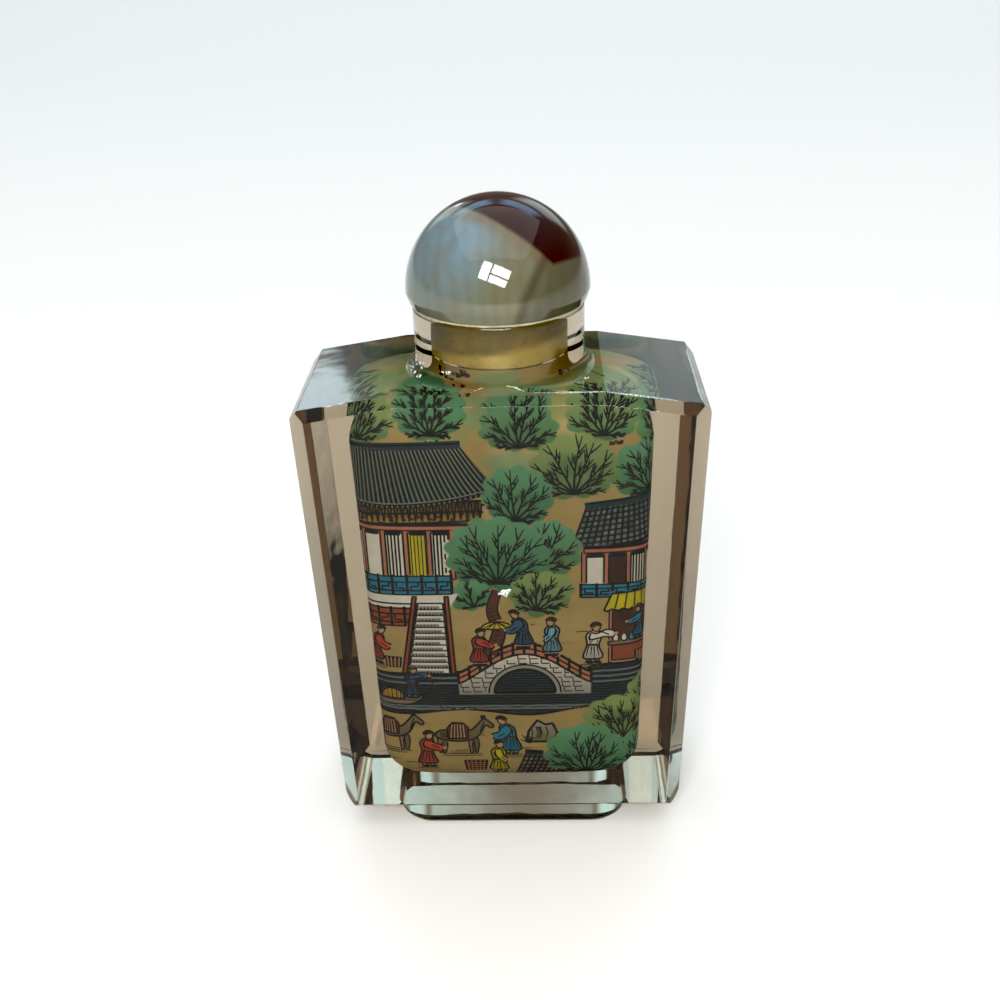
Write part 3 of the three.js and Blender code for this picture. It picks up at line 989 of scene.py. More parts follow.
def person(pic, x, z, h, robe, facing, pose, legs=GREY):
    """A small plain figure in a belted robe and a cap, with no features drawn. Returns its hand."""
    lean, hu, hv = POSES[pose]
    place = placer(x, z, h, facing)

    def at(*points):
        return place(*((u + lean * max(v - 0.4, 0), v) for u, v in points))

    def rounded(*points):
        return smooth(at(*points), 4, closed=True)

    for u in (-0.1, 0.07):
        leg = rounded((u - 0.05, 0.22), (u + 0.07, 0.22), (u + 0.05, 0.04), (u - 0.03, 0.04))
        pic.outline(leg, legs, 0.17)
        pic.line(at((u - 0.03, 0.025), (u + 0.11, 0.02)), 0.06 * h, over=1)
    front = ((0.21, 0.16), (0.12, 0.44), (0.16, 0.68), (0.05, 0.82))
    back = ((-0.06, 0.82), (-0.17, 0.7), (-0.13, 0.46), (-0.21, 0.16), (0.0, 0.11))
    pic.outline(rounded(*front, *back), tuple(c * 0.62 for c in robe), 0.22, top=robe)
    for fold in FOLDS:
        pic.line(at(*fold), 0.17, taper=0.5)
    pic.line(at((-0.13, 0.47), (0.13, 0.46)), 0.05 * h, BROWN_INK, over=1)
    upper = ((-0.07, 0.76), (0.06, 0.75), (hu * 0.6, hv + 0.1), (hu, hv + 0.05))
    lower = ((hu - 0.01, hv - 0.09), (hu * 0.5, hv - 0.08), (-0.07, 0.6))
    pic.outline(rounded(*upper, *lower), robe, 0.2)
    pic.line(at((hu * 0.25, hv + 0.07), (hu * 0.75, hv - 0.03)), 0.15)
    pic.line(at((hu, hv - 0.01), (hu + 0.08, hv)), 0.055 * h, SKIN, over=1)
    head = ((0.03 + 0.085 * cos(a), 0.89 + 0.095 * sin(a)) for a in np.linspace(0, 5.8, 12))
    pic.outline(at(*head), SKIN, 0.16)
    cap = rounded((-0.06, 0.9), (-0.1, 0.96), (-0.03, 1.03), (0.07, 1.02), (0.13, 0.95), (0.02, 0.95))
    pic.area(cap, BLACK)
    pic.line(cap, 0.14, over=1)
    return at((hu + 0.08, hv))[0]


def basket(pic, x, z, w, h, colour=RUST_DARK):
    rim = [(x - w / 2, z), (x + w / 2, z), (x + w * 0.6, z + h), (x - w * 0.6, z + h)]
    pic.outline(rim, colour, 0.22)
    weave(pic, rim, w, h)


def weave(pic, quad, w, h):
    """Light and dark lines crossing in a four-cornered figure."""
    for u in np.linspace(0.12, 0.88, max(3, int(w / 0.45))):
        pic.line(upright(quad, u), 0.13, SKIN, over=1)
    for v in np.linspace(0.2, 0.85, max(2, int(h / 0.45))):
        pic.line(level(quad, v, (0.03, 0.97)), 0.16, over=1)


def mule(pic, x, z, w, facing=1, coat=TILE_WARM):
    """A pack animal from the side, under a load of matting."""
    shade = tuple(c * 0.6 for c in coat)
    at = placer(x, z, w, facing)
    for u in (-0.3, 0.34):
        leg = at((u - 0.05, 0.36), (u + 0.05, 0.36), (u + 0.07, 0.2), (u + 0.03, 0.0), (u - 0.02, 0.0))
        pic.outline(leg, shade, 0.18)
    for u in (-0.38, 0.24):
        leg = at((u - 0.06, 0.42), (u + 0.07, 0.38), (u + 0.03, 0.2), (u + 0.04, 0.0), (u - 0.02, 0.0))
        pic.outline(leg, coat, 0.18)
    back = at((-0.45, 0.5), (-0.3, 0.57), (0.0, 0.54), (0.25, 0.57), (0.4, 0.72), (0.5, 0.84))
    face = at((0.57, 0.82), (0.7, 0.68), (0.66, 0.62), (0.54, 0.68), (0.44, 0.48))
    belly = at((0.28, 0.34), (0.0, 0.29), (-0.3, 0.33), (-0.45, 0.4))
    pic.outline(smooth([*back, *face, *belly], 4, closed=True), shade, 0.24, top=coat)
    for u in (0.49, 0.54):
        pic.line(at((u, 0.82), (u - 0.02, 0.93)), 0.3)
    pic.line(smooth(at((-0.45, 0.5), (-0.52, 0.4), (-0.5, 0.2))), 0.34, BROWN_INK, taper=0.5)
    pic.line(at((0.43, 0.52), (0.52, 0.78)), 0.15)
    for u in np.linspace(-0.36, -0.24, 4):
        pic.line(at((u, 0.52), (u + 0.03, 0.38)), 0.13)
    load = at((-0.22, 0.36), (0.18, 0.36), (0.2, 0.62), (0.1, 0.74), (-0.12, 0.75), (-0.22, 0.62))
    pic.outline(load, RUST_DARK, 0.24)
    weave(pic, at((-0.2, 0.38), (0.16, 0.38), (0.13, 0.7), (-0.16, 0.7)), w * 0.36, w * 0.4)


def stall(pic, x0, x1, z, cloth):
    """A trader's awning on two posts over a table of jars."""
    high = z + 8.4
    ridge = (x0 + 0.6, high + 2.2), (x1 - 0.6, high + 2.4)
    pic.area(box(x0 + 0.5, x1 - 0.5, z + 3.0, high), RUST_DARK, BROWN_INK)
    for x in (x0 + 0.5, x1 - 0.5):
        pic.outline(box(x - 0.22, x + 0.22, z, high), ROSE, 0.16)
    hem_xs = np.linspace(x1 + 0.4, x0 - 0.4, 30)
    hem = [(x, high - 0.5 + 0.35 * abs(sin((x - x0) * 2.2))) for x in hem_xs]
    pic.outline([*ridge, *hem], cloth, 0.24)
    for u in np.linspace(0.12, 0.88, 6):
        pic.line([between(*ridge, u), (x0 + (x1 - x0) * u, high)], 0.18)
    pic.outline(box(x0 + 0.2, x1 - 0.2, z + 2.7, z + 3.3), TILE_WARM, 0.2)
    pic.outline(box(x0 + 0.7, x1 - 0.7, z + 0.3, z + 2.7), RUST, 0.2)
    profile = ((-0.32, 3.3), (-0.4, 3.9), (-0.15, 4.4), (0.15, 4.4), (0.4, 3.9), (0.32, 3.3))
    for x in np.arange(x0 + 1.2, x1 - 0.9, 1.1):
        jar = smooth([(x + dx, z + dz) for dx, dz in profile], 3)
        pic.outline(jar, (WHITE, BLUE, OCHRE)[int(x * 3) % 3], 0.17)


def parasol(pic, x, z, w, colour):
    dome = [(x + w * cos(a), z + w * 0.55 * sin(a)) for a in np.linspace(0, pi, 11)]
    pic.outline(dome, colour, 0.2)
    for a in np.linspace(0.4, pi - 0.4, 6):
        pic.line([(x, z + w * 0.55), (x + w * cos(a), z + 0.05)], 0.13)
    pic.line([(x, z + 0.1), (x, z - w * 1.1)], 0.2, BROWN_INK)


def boat(pic, x, z, w, facing=1):
    """A small boat with a matting hood. Returns where its oarsman stands."""
    at = placer(x, z, w, facing)
    hull = smooth(at((-0.5, 0.14), (-0.35, 0.0), (0.3, 0.0), (0.55, 0.2)), 5)
    pic.outline([*hull, *at((0.36, 0.13), (-0.4, 0.11))], TILE_WARM, 0.24)
    pic.line(at((-0.42, 0.07), (0.4, 0.08)), 0.16, BROWN_INK)
    hood = ((-0.02 + 0.22 * cos(a), 0.1 + 0.2 * sin(a)) for a in np.linspace(0, pi, 11))
    pic.outline(at(*hood), OCHRE, 0.22)
    for a in np.linspace(0.35, pi - 0.35, 7):
        c, s = cos(a), sin(a)
        pic.line(at((-0.02 + 0.21 * c, 0.1 + 0.19 * s), (-0.02 + 0.2 * c, 0.11)), 0.13)
    return at((0.33, 0.12))[0]


def rock(pic, x, z, w, h):
    low = ((-0.5, 0), (-0.42, 0.5), (-0.15, 1), (0.1, 0.8), (0.32, 0.85), (0.5, 0.3), (0.46, 0))
    pic.outline([(x + u * w, z + v * h) for u, v in low], TAN_DARK, 0.3, top=GREY)
    pic.wash(x, z + h * 0.3, w * 0.35, h * 0.3, MOSS, 0.6, 0.9)
    for _ in range(7):
        t = pic.any_of(-0.38, 0.38)
        crack = [(x + (t + du) * w, z + h * v) for du, v in ((0, 0.7), (0.06, 0.4), (-0.02, 0.12))]
        pic.line(smooth(crack, 3), 0.2, BROWN_INK, taper=0.6)


def earth(pic, x0, x1, z0, z1, count):
    """Dry level brush marks on bare ground, some as thin ink lines."""
    for k in range(count):
        x, z, reach = pic.any_of(x0, x1), pic.any_of(z0, z1), pic.any_of(1.5, 3.5)
        pic.wash(x, z, reach, pic.any_of(0.15, 0.4), TAN_DARK, 0.5, 0.9)
        if k % 3 == 0:
            pic.line([(x - reach * 0.5, z), (x, z + 0.08), (x + reach * 0.4, z)], 0.12, BROWN_INK)


def shadow(pic, x, z, w):
    """Level strokes on the ground under a figure."""
    pic.wash(x, z, w, 0.45, TAN_DARK, 0.55, 0.9)
    for dz in (-0.35, 0.0, 0.3):
        half = w * pic.any_of(0.5, 0.9)
        pic.line([(x - half, z + dz), (x + half, z + dz)], 0.12, BROWN_INK)


def distance(pic, z0, z1):
    """Mist, far trees and bare slopes behind the scene."""
    for _ in range(34):
        x, z = pic.any_of(-26, 26), pic.any_of(z0, z1)
        colour = (JADE, PALE_GREEN, CREAM, CREAM, GREEN)[int(pic.rng.integers(5))]
        pic.wash(x, z, pic.any_of(3, 6), pic.any_of(1.6, 3), colour, 0.55, 0.5, 0.2)
    for _ in range(26):
        x, z, w = pic.any_of(-26, 26), pic.any_of(z0 + 2, z1 + 2), pic.any_of(1.6, 3.6)
        bush(pic, x, z, w, BLACK if pic.rng.random() < 0.6 else BROWN_INK)


def ground(seed):
    pic = Picture(seed, GROUND)
    for _ in range(26):
        colour = TAN_DARK if pic.rng.random() < 0.4 else CREAM
        pic.wash(pic.any_of(-24, 24), pic.any_of(6, 50), 6, 3, colour, 0.25, 1.0)
    return pic


def river_garden():
    """The front: a hall by a pond, a humped bridge, houses, trees and a small market."""
    pic = ground(7)
    distance(pic, 50, 66)
    crown(pic, -17.5, 60.4, 4.6, 3.0, OLD_LEAF)
    crown(pic, -8.4, 60.8, 4.4, 2.8)
    crown(pic, 2.2, 59.6, 4.8, 3.4, MOSSY)
    crown(pic, 12.4, 60.6, 4.6, 3.0, (GREEN, PALE_GREEN))
    crown(pic, 20.2, 59.0, 3.8, 3.4, MOSSY, lean=-0.3)
    # The great hall, upper left.
    bays(pic, -21, -3.6, 38.6, 46.6, ("bars", "plaster", "bars", "cloth", "bars", "screen"))
    brackets(pic, -21.5, -2.6, 46.4, 49.2, 0.6)
    ribbed_roof(pic, [(-24, 48.6), (-0.6, 49.6), (-5.2, 57.4), (-22, 57.0)], 36, 1.6)
    # Trees right of the hall, in front of its eave.
    crown(pic, 18.0, 53.4, 5.0, 4.0, lean=-0.2)
    crown(pic, 8.8, 54.0, 5.6, 4.4, OLD_LEAF, 9)
    crown(pic, 1.9, 50.2, 4.4, 4.2, lean=0.1)
    # Houses on the right bank.
    tiled_roof(pic, [(8.4, 42.6), (21.8, 43.8), (20.2, 49.8), (10.4, 48.8)], 15, 8)
    bays(pic, 10.0, 21.4, 36.6, 43.0, ("plaster", "dark", "bars", "plaster"))
    fret_rail(pic, (9.6, 35.6), (21.8, 35.4), 1.9, 6, BLUE)
    # The great tree in the middle.
    trunk = smooth([(-2.4, 26.6), (-1.0, 30.5), (-1.8, 34.0), (-0.6, 38)])
    pic.line(trunk, 1.9, taper=0.45)
    pic.line(trunk, 1.4, RUST_DARK, taper=0.45, over=1)
    for px, pz in trunk[2:-6]:
        pic.line([(px - 0.45, pz), (px + 0.1, pz + 0.25)], 0.16, over=2)
    crown(pic, 5.2, 42.8, 4.6, 4.2, MOSSY, lean=0.2)
    crown(pic, -0.9, 42.2, 6.6, 5.4, arms=11, spread=1.7)
    crown(pic, 4.6, 36.4, 4.2, 3.4, OLD_LEAF, lean=0.2)
    crown(pic, -4.6, 36.2, 2.9, 2.3, arms=5, lean=-0.2)
    # Terrace, rails and steps down to the pond.
    pic.area([(-22, 34.4), (-7.2, 34.4), (-6.0, 36.4), (-22, 36.4)], WHITE)
    pic.line([(-22, 34.9), (-7.0, 34.9)], 0.2)
    fret_rail(pic, (-22, 36.2), (-6.8, 36.4), 2.7, 8, BLUE)
    fret_rail(pic, (-22, 31.4), (-7.8, 31.6), 2.7, 8, RUST)
    steps(pic, [(-13.2, 24.0), (-7.6, 24.0), (-8.0, 35.0), (-11.4, 35.0)], 12)
    for foot_x, head_x in ((-13.7, -11.7), (-7.2, -7.6)):
        rail = [(foot_x - 0.3, 24.0), (foot_x + 0.3, 24.0), (head_x + 0.25, 36.0), (head_x - 0.25, 36.0)]
        pic.outline(rail, RUST, 0.22)
    # Right bank: a stall with its trader and a buyer.
    earth(pic, -4, 22, 25, 34, 16)
    stall(pic, 13.0, 21.6, 25.4, YELLOW)
    shadow(pic, 11.2, 25.2, 1.8)
    person(pic, 17.6, 28.6, 5.2, BLUE, -1, "carry")
    person(pic, 11.2, 25.4, 6.2, WHITE, 1, "point", NAVY)
    basket(pic, 18.4, 25.0, 2.4, 1.8, RUST)
    shadow(pic, -17.4, 25.0, 2.0)
    person(pic, -17.8, 25.2, 6.0, RED, 1, "bow")
    basket(pic, -15.2, 25.0, 1.9, 1.5)
    # Pond and bridge.
    shore = [(-26, 18.2), (-15, 17.4), (-6, 18.2), (3, 17.2), (12, 18.6), (26, 17.8)]
    far_shore = [(26, 24.6), (13, 25.2), (8, 24.0), (-4, 23.6), (-12, 24.0), (-26, 23.4)]
    water(pic, shore + far_shore)
    pic.line(smooth(far_shore), 0.3)
    deck = arched_bridge(pic, -6.6, 11.0, 22.4, 4.6, 1.7)
    x, z = boat(pic, -15.6, 19.0, 8.2)
    person(pic, x, z, 5.0, NAVY, 1, "point")
    pic.line([(x + 2.2, z + 4.4), (x + 4.0, z - 2.2)], 0.2, BROWN_INK)
    walkers = ((4, RED, "carry", 1), (12, NAVY, "bow", -1), (17, SKY_BLUE, "stand", -1))
    for place, robe, pose, facing in walkers:
        x, z = deck[place]
        hand = person(pic, x, z + 0.9, 5.8, robe, facing, pose)
        if robe is RED:
            parasol(pic, hand[0], hand[1] + 2.4, 2.1, YELLOW)
    # The near bank.
    pic.line(smooth(shore), 0.34)
    earth(pic, -22, 8, 7.5, 16.5, 26)
    shadow(pic, -16.4, 11.0, 3.4)
    mule(pic, -16.6, 11.2, 7.0)
    shadow(pic, -6.6, 10.6, 3.2)
    mule(pic, -7.0, 10.8, 6.8, 1, TAN_DARK)
    shadow(pic, -11.4, 8.0, 1.8)
    person(pic, -11.4, 8.0, 6.4, RED, 1, "carry")
    shadow(pic, 0.4, 10.4, 1.8)
    person(pic, 0.2, 10.4, 6.4, BLUE, -1, "bow")
    person(pic, -1.6, 6.6, 6.2, YELLOW, 1, "stand", WHITE)
    basket(pic, -4.8, 7.4, 2.6, 1.9, RUST)
    rock(pic, 4.4, 12.6, 4.4, 3.6)
    grass(pic, 2.6, 12.4, 1.8, 7)
    tiled_roof(pic, [(0.6, 6.0), (8.4, 6.0), (9.6, 10.2), (2.2, 10.8)], 11, 6, BROWN_INK, TILE_WARM)
    crown(pic, 20.0, 19.6, 4.4, 3.6, OLD_LEAF, lean=-0.3)
    crown(pic, 15.4, 16.0, 5.4, 4.0, OLD_LEAF, 9)
    crown(pic, 18.4, 9.0, 5.4, 4.4, arms=9, lean=-0.1)
    crown(pic, 10.4, 10.4, 5.8, 4.8, arms=11, spread=1.7)
    crown(pic, -20.4, 8.2, 3.6, 3.0, OLD_LEAF)
    return pic


def misty_valley():
    """The back: a waterfall between crags, a pavilion over a stream, and a farm below."""
    pic = ground(23)
    distance(pic, 46, 66)
    far = ((-19, 57, 4.6), (-11, 60, 4.2), (-3, 58, 4.0), (5, 61, 3.6), (11, 59, 4.8), (18, 57.5, 4.6))
    for x, z, rx in far:
        crown(pic, x, z, rx, 3.2, OLD_LEAF)
    for x, z, rx in ((-14, 52.6, 5.0), (-4.6, 53.4, 4.2), (5.6, 54.6, 4.4), (17.6, 49.6, 4.8)):
        crown(pic, x, z, rx, 3.4)
    pic.area([(1.0, 34), (4.8, 34), (4.2, 42), (4.4, 50), (2.4, 50), (1.4, 42)], GREY, WHITE)
    for u in np.linspace(0.1, 0.9, 7):
        pic.line(smooth([(1.0 + 3.6 * u, 34), (1.6 + 2.5 * u, 42), (2.6 + 1.8 * u, 50)]), 0.16, SLATE)
    rock(pic, -1.6, 34.0, 6.4, 12.0)
    rock(pic, 8.2, 33.6, 7.6, 14.0)
    crown(pic, 11.4, 49.0, 5.4, 4.0, arms=9)
    crown(pic, -6.4, 47.4, 5.4, 4.2, arms=9)
    crown(pic, 15.8, 41.4, 5.2, 4.6, MOSSY, lean=-0.2)
    crown(pic, -19.0, 46.4, 4.4, 3.8, (GREEN, PALE_GREEN))
    near_shore = [(-26, 20.6), (-10, 22.4), (10, 22.6), (26, 20.8)]
    water(pic, near_shore + [(26, 31.0), (6, 34.6), (-8, 32.0), (-26, 30.6)])
    bays(pic, -18.5, -8.0, 31.0, 37.0, ("cloth", "bars", "screen", "bars"))
    brackets(pic, -19.0, -7.4, 36.8, 38.6)
    ribbed_roof(pic, [(-21.2, 38.2), (-5.4, 38.2), (-9.6, 44.8), (-17.0, 44.8)], 24, 1.5)
    fret_rail(pic, (-20.4, 28.8), (-6.2, 28.8), 2.4, 8, BLUE)
    oarsman = boat(pic, 10.4, 24.2, 9.0, -1)
    person(pic, *oarsman, 5.4, WHITE, -1, "point", NAVY)
    crown(pic, -1.6, 30.0, 4.2, 3.2, OLD_LEAF)
    earth(pic, -20, 12, 8.5, 20, 26)
    bays(pic, 11.4, 21, 9.6, 15.8, ("plaster", "dark", "cloth", "plaster"))
    tiled_roof(pic, [(10.0, 15.2), (21.8, 15.8), (20.6, 20.6), (11.6, 20.0)], 14, 6)
    steps(pic, [(-4.4, 7.0), (0.8, 7.0), (-0.8, 20.4), (-3.8, 20.4)], 12)
    fret_rail(pic, (-20, 18.4), (-4.6, 19.4), 2.5, 8, RUST)
    mule(pic, -13.4, 11.2, 7.2, -1)
    people = ((-7.6, 11.6, NAVY, 1, "carry"), (3.8, 11.6, YELLOW, -1, "bow"), (8.0, 8.0, WHITE, 1, "point"))
    for x, z, robe, facing, pose in people:
        shadow(pic, x, z, 1.8)
        person(pic, x, z, 6.3, robe, facing, pose, NAVY)
    basket(pic, 5.9, 10.6, 2.2, 1.6)
    crown(pic, 4.8, 17.4, 4.2, 3.2, OLD_LEAF)
    crown(pic, -12.4, 7.6, 3.4, 2.2, (GREEN, PALE_GREEN))
    crown(pic, -19.6, 9.6, 4.4, 4.0)
    crown(pic, 16.8, 8.4, 4.6, 3.2, OLD_LEAF)
    return pic


def edge_trees(pic, wall):
    """Trees one over another down the middle of each narrow side, where the two pictures meet."""
    for k, z in enumerate(np.arange(9.0, 61.0, 4.7)):
        middle = np.interp(z, wall.z, wall.length)
        for side in (-1, 1):
            crown(pic, side * middle, z, 2.9, 3.0, OLD_LEAF if k % 2 else LEAF, 7)


# ---- Laying the picture on the wall ----

FILM_ROWS, FILM_COLS, SIDE_ROWS, SIDE_COLS = 400, 246, 240, 60
INK_LIFT, OVER_LIFT = 0.018, 0.01  # how far ink lies out over the film, and each later line over that
INK_PIECE = 0.4  # the longest stretch of an ink line between two points
FRONT_REACH = 0.73  # share of a quarter of the ring that the broad wall's piece covers
QUARTER = np.linspace(pi / 2, 0, 241)


def quarter(half, z, lift):
    """A quarter of the level ring, from the middle of a broad wall to a side's, with arc length."""
    deep, power = room_section(half, z)
    x = np.abs(np.cos(QUARTER)) ** (2 / power) * (half + lift)
    y = np.abs(np.sin(QUARTER)) ** (2 / power) * (deep + lift)
    x[0], y[-1] = 0.0, 0.0
    return x, y, np.concatenate([[0], np.cumsum(np.hypot(np.diff(x), np.diff(y)))])


def film_profile():
    return np.array([p for p in room_profile(60) if p[1] <= TOP_OF_FILM] + [(BORE_RADIUS, TOP_OF_FILM)])


def along_profile(count):
    """Evenly spaced half widths and heights from the edge of the floor up into the bore."""
    p = film_profile()
    run = np.concatenate([[0], np.cumsum(np.hypot(*np.diff(p, axis=0).T))])
    t = np.linspace(0, run[-1], count)
    return np.interp(t, run, p[:, 0]), np.interp(t, run, p[:, 1])


def looked_up(table, row, col):
    """Values between a table's cells, straight between neighbours."""
    r, c = row.astype(int), col.astype(int)
    a, b = row - r, col - c
    if table.ndim > 2:
        a, b = a[..., None], b[..., None]
    low = table[r, c] * (1 - b) + table[r, c + 1] * b
    high = table[r + 1, c] * (1 - b) + table[r + 1, c + 1] * b
    return low * (1 - a) + high * a


class Wall:
    """Looks up a point of the room's wall from arc length and height."""

    def __init__(self):
        self.fractions = np.linspace(0, 1, 321)
        rows = film_profile()
        self.z = np.linspace(ROOM_FLOOR + 0.02, TOP_OF_FILM, 480)
        self.half = np.interp(self.z, rows[:, 1], rows[:, 0])
        self.deep = np.array([room_section(h, z)[0] for h, z in zip(self.half, self.z)])
        length, across, out = [], [], []
        for h, z in zip(self.half, self.z):
            x, y, run = quarter(h, z, 0)
            length.append(run[-1])
            across.append(np.interp(self.fractions * run[-1], run, x))
            out.append(np.interp(self.fractions * run[-1], run, y))
        self.length, self.x, self.y = np.array(length), np.array(across), np.array(out)

    def place(self, s, z, lift, side):
        """Points on the wall, lifted outwards, and which of them are off it; side is -1 for the front."""
        row = np.clip(np.interp(z, self.z, np.arange(len(self.z))), 0, len(self.z) - 1.001)
        share = np.abs(s) / np.interp(z, self.z, self.length)
        col = np.clip(share, 0, 0.999) * (len(self.fractions) - 1)
        half, deep = np.interp(z, self.z, self.half), np.interp(z, self.z, self.deep)
        x = np.sign(s) * looked_up(self.x, row, col) * (1 + lift / half)
        y = looked_up(self.y, row, col) * (1 + lift / deep)
        off = (share > 0.995) | (z < self.z[0]) | (z > TOP_OF_FILM - 0.1)
        return np.stack([x * -side, y * side, z], -1), off


def sampled(picture, s, z):
    """The picture's colours at points of the wall."""
    blurred = picture.image
    for axis in (0, 1):
        blurred = (np.roll(blurred, 1, axis) + blurred + np.roll(blurred, -1, axis)) / 3
    rows, cols = picture.size
    row = np.clip((z - DRAW_LOW) / DRAW_STEP - 0.5, 0, rows - 1.001)
    col = np.clip((s + DRAW_HALF) / DRAW_STEP - 0.5, 0, cols - 1.001)
    return looked_up(blurred, row, col)


def grid_faces(rows, cols, offset=0):
    k = np.arange(rows - 1)[:, None] * cols + np.arange(cols - 1)[None] + offset
    return np.stack([k, k + 1, k + cols + 1, k + cols], -1).reshape(-1, 4)


def coloured_mesh(name, points, faces, colours):
    mesh = bpy.data.meshes.new(name)
    mesh.from_pydata((np.asarray(points) * MM).tolist(), [], np.asarray(faces).tolist())
    layer = mesh.color_attributes.new("pigment", "FLOAT_COLOR", "POINT")
    rgba = np.ones((len(points), 4), np.float32)
    rgba[:, :3] = colours
    layer.data.foreach_set("color", rgba.ravel())
    mesh.update()
    return mesh


def broad_film(name, picture, side):
    """The film on one broad wall. side is -1 for the front, which faces -Y."""
    rows, cols = FILM_ROWS, FILM_COLS
    half, z = along_profile(rows)
    t = np.linspace(-1, 1, cols)
    points, arcs = np.empty((rows, cols, 3)), np.empty((rows, cols))
    for k, (h, height) in enumerate(zip(half, z)):
        x, y, run = quarter(h, height, CONTACT)
        s = t * run[-1] * FRONT_REACH
        points[k, :, 0] = np.sign(s) * np.interp(np.abs(s), run, x) * -side
        points[k, :, 1] = np.interp(np.abs(s), run, y) * side
        points[k, :, 2] = height
        arcs[k] = s
    colours = sampled(picture, arcs, np.broadcast_to(z[:, None], arcs.shape))
    return coloured_mesh(name, points.reshape(-1, 3), grid_faces(rows, cols), colours.reshape(-1, 3))


def side_film(name, front, back):
    """The film round both narrow sides, from the front's edge to the back's."""
    rows, cols = SIDE_ROWS, SIDE_COLS
    half, z = along_profile(rows)
    t = np.linspace(-1, 1, cols)
    to_back = np.clip(t * 6 + 0.5, 0, 1)[:, None]
    heights = np.repeat(z[:, None], cols, axis=1)
    points, colours, faces = [], [], []
    for hand in (-1, 1):
        sheet, arcs = np.empty((rows, cols, 3)), np.empty((rows, cols))
        for k, (h, height) in enumerate(zip(half, z)):
            x, y, run = quarter(h, height, CONTACT)
            s = run[-1] * (1 - np.abs(t) * (1 - FRONT_REACH))
            sheet[k, :, 0] = np.interp(s, run, x) * hand
            sheet[k, :, 1] = np.interp(s, run, y) * np.sign(t)
            sheet[k, :, 2] = height
            arcs[k] = s
        on_front, on_back = sampled(front, arcs * hand, heights), sampled(back, -arcs * hand, heights)
        faces.append(grid_faces(rows, cols, len(points) * rows * cols))
        points.append(sheet.reshape(-1, 3))
        colours.append((on_front * (1 - to_back) + on_back * to_back).reshape(-1, 3))
    return coloured_mesh(name, np.concatenate(points), np.concatenate(faces), np.concatenate(colours))


def floor_film(name, colour):
    x, y, _ = quarter(*along_profile(2)[0][:1], ROOM_FLOOR, CONTACT)
    quarters = ((x, -y), (x[::-1], y[::-1]), (-x, y), (-x[::-1], -y[::-1]))
    points = [(a, b, ROOM_FLOOR) for xs, ys in quarters for a, b in list(zip(xs, ys))[:-1]]
    n = len(points)
    faces = [(i, (i + 1) % n, n) for i in range(n)]
    return coloured_mesh(name, [*points, (0, 0, ROOM_FLOOR)], faces, [colour] * (n + 1))


def ink_mesh(name, picture, side, wall):
    """Every ink line as a fine ribbon on the wall."""
    points, faces, colours, count = [], [], [], 0
    for number, (path, half_width, colour, over) in enumerate(picture.strokes):
        run = np.concatenate([[0], np.cumsum(np.hypot(*np.diff(path, axis=0).T))])
        if run[-1] < 0.05:
            continue
        pieces = max(2, int(run[-1] / INK_PIECE) + 1)
        t = np.union1d(np.linspace(0, run[-1], pieces), run)
        t = t[np.concatenate([[True], np.diff(t) > 0.02])]
        p = np.stack([np.interp(t, run, path[:, 0]), np.interp(t, run, path[:, 1])], -1)
        ahead = np.gradient(p, axis=0)
        ahead /= np.maximum(np.hypot(*ahead.T)[:, None], 1e-9)
        across = np.stack([-ahead[:, 1], ahead[:, 0]], -1) * np.interp(t, run, half_width)[:, None]
        both = np.stack([p - across, p + across], 1).reshape(-1, 2)
        lift = CONTACT + INK_LIFT + OVER_LIFT * over
        placed, off = wall.place(both[:, 0], both[:, 1], lift, side)
        off = off.reshape(-1, 2).any(1) | picture.hides(number, p[:, 0], p[:, 1])
        points.append(placed)
        colours.append(np.tile(colour, (len(placed), 1)))
        for k in range(len(t) - 1):
            if not (off[k] or off[k + 1]):
                a = count + 2 * k
                faces.append((a, a + 2, a + 3, a + 1))
        count += len(placed)
    return coloured_mesh(name, np.concatenate(points), faces, np.concatenate(colours))


def pigment_material():
    """Matt paint in the drawn colours, slightly uneven as brushed colour is."""
    material, tree, shader = new_material("ink", Roughness=0.85, Specular_IOR_Level=0.1)
    drawn = tree.nodes.new("ShaderNodeVertexColor")
    drawn.layer_name = "pigment"
    uneven = tree.nodes.new("ShaderNodeMapRange")
    for name, v in (("To Min", 0.82), ("To Max", 1.16), ("Value", noise(tree, object_place(tree), 420, 5))):
        wire(tree, v, uneven.inputs[name])
    shaded = vector_maths(tree, "SCALE", drawn.outputs["Color"], uneven.outputs["Result"])
    wire(tree, shaded, shader.inputs["Base Color"])
    return material


def build_painting():
    front, back, wall = river_garden(), misty_valley(), Wall()
    edge_trees(front, wall)
    edge_trees(back, wall)
    material = pigment_material()
    for mesh in (
        broad_film("painted_front", front, -1),
        broad_film("painted_back", back, 1),
        side_film("painted_sides", front, back),
        floor_film("painted_floor", TAN_DARK),
        ink_mesh("ink_front", front, -1, wall),
        ink_mesh("ink_back", back, 1, wall),
    ):
        mesh.shade_smooth()
        dress(new_object(mesh.name, mesh), material)


# ---- Studio ----

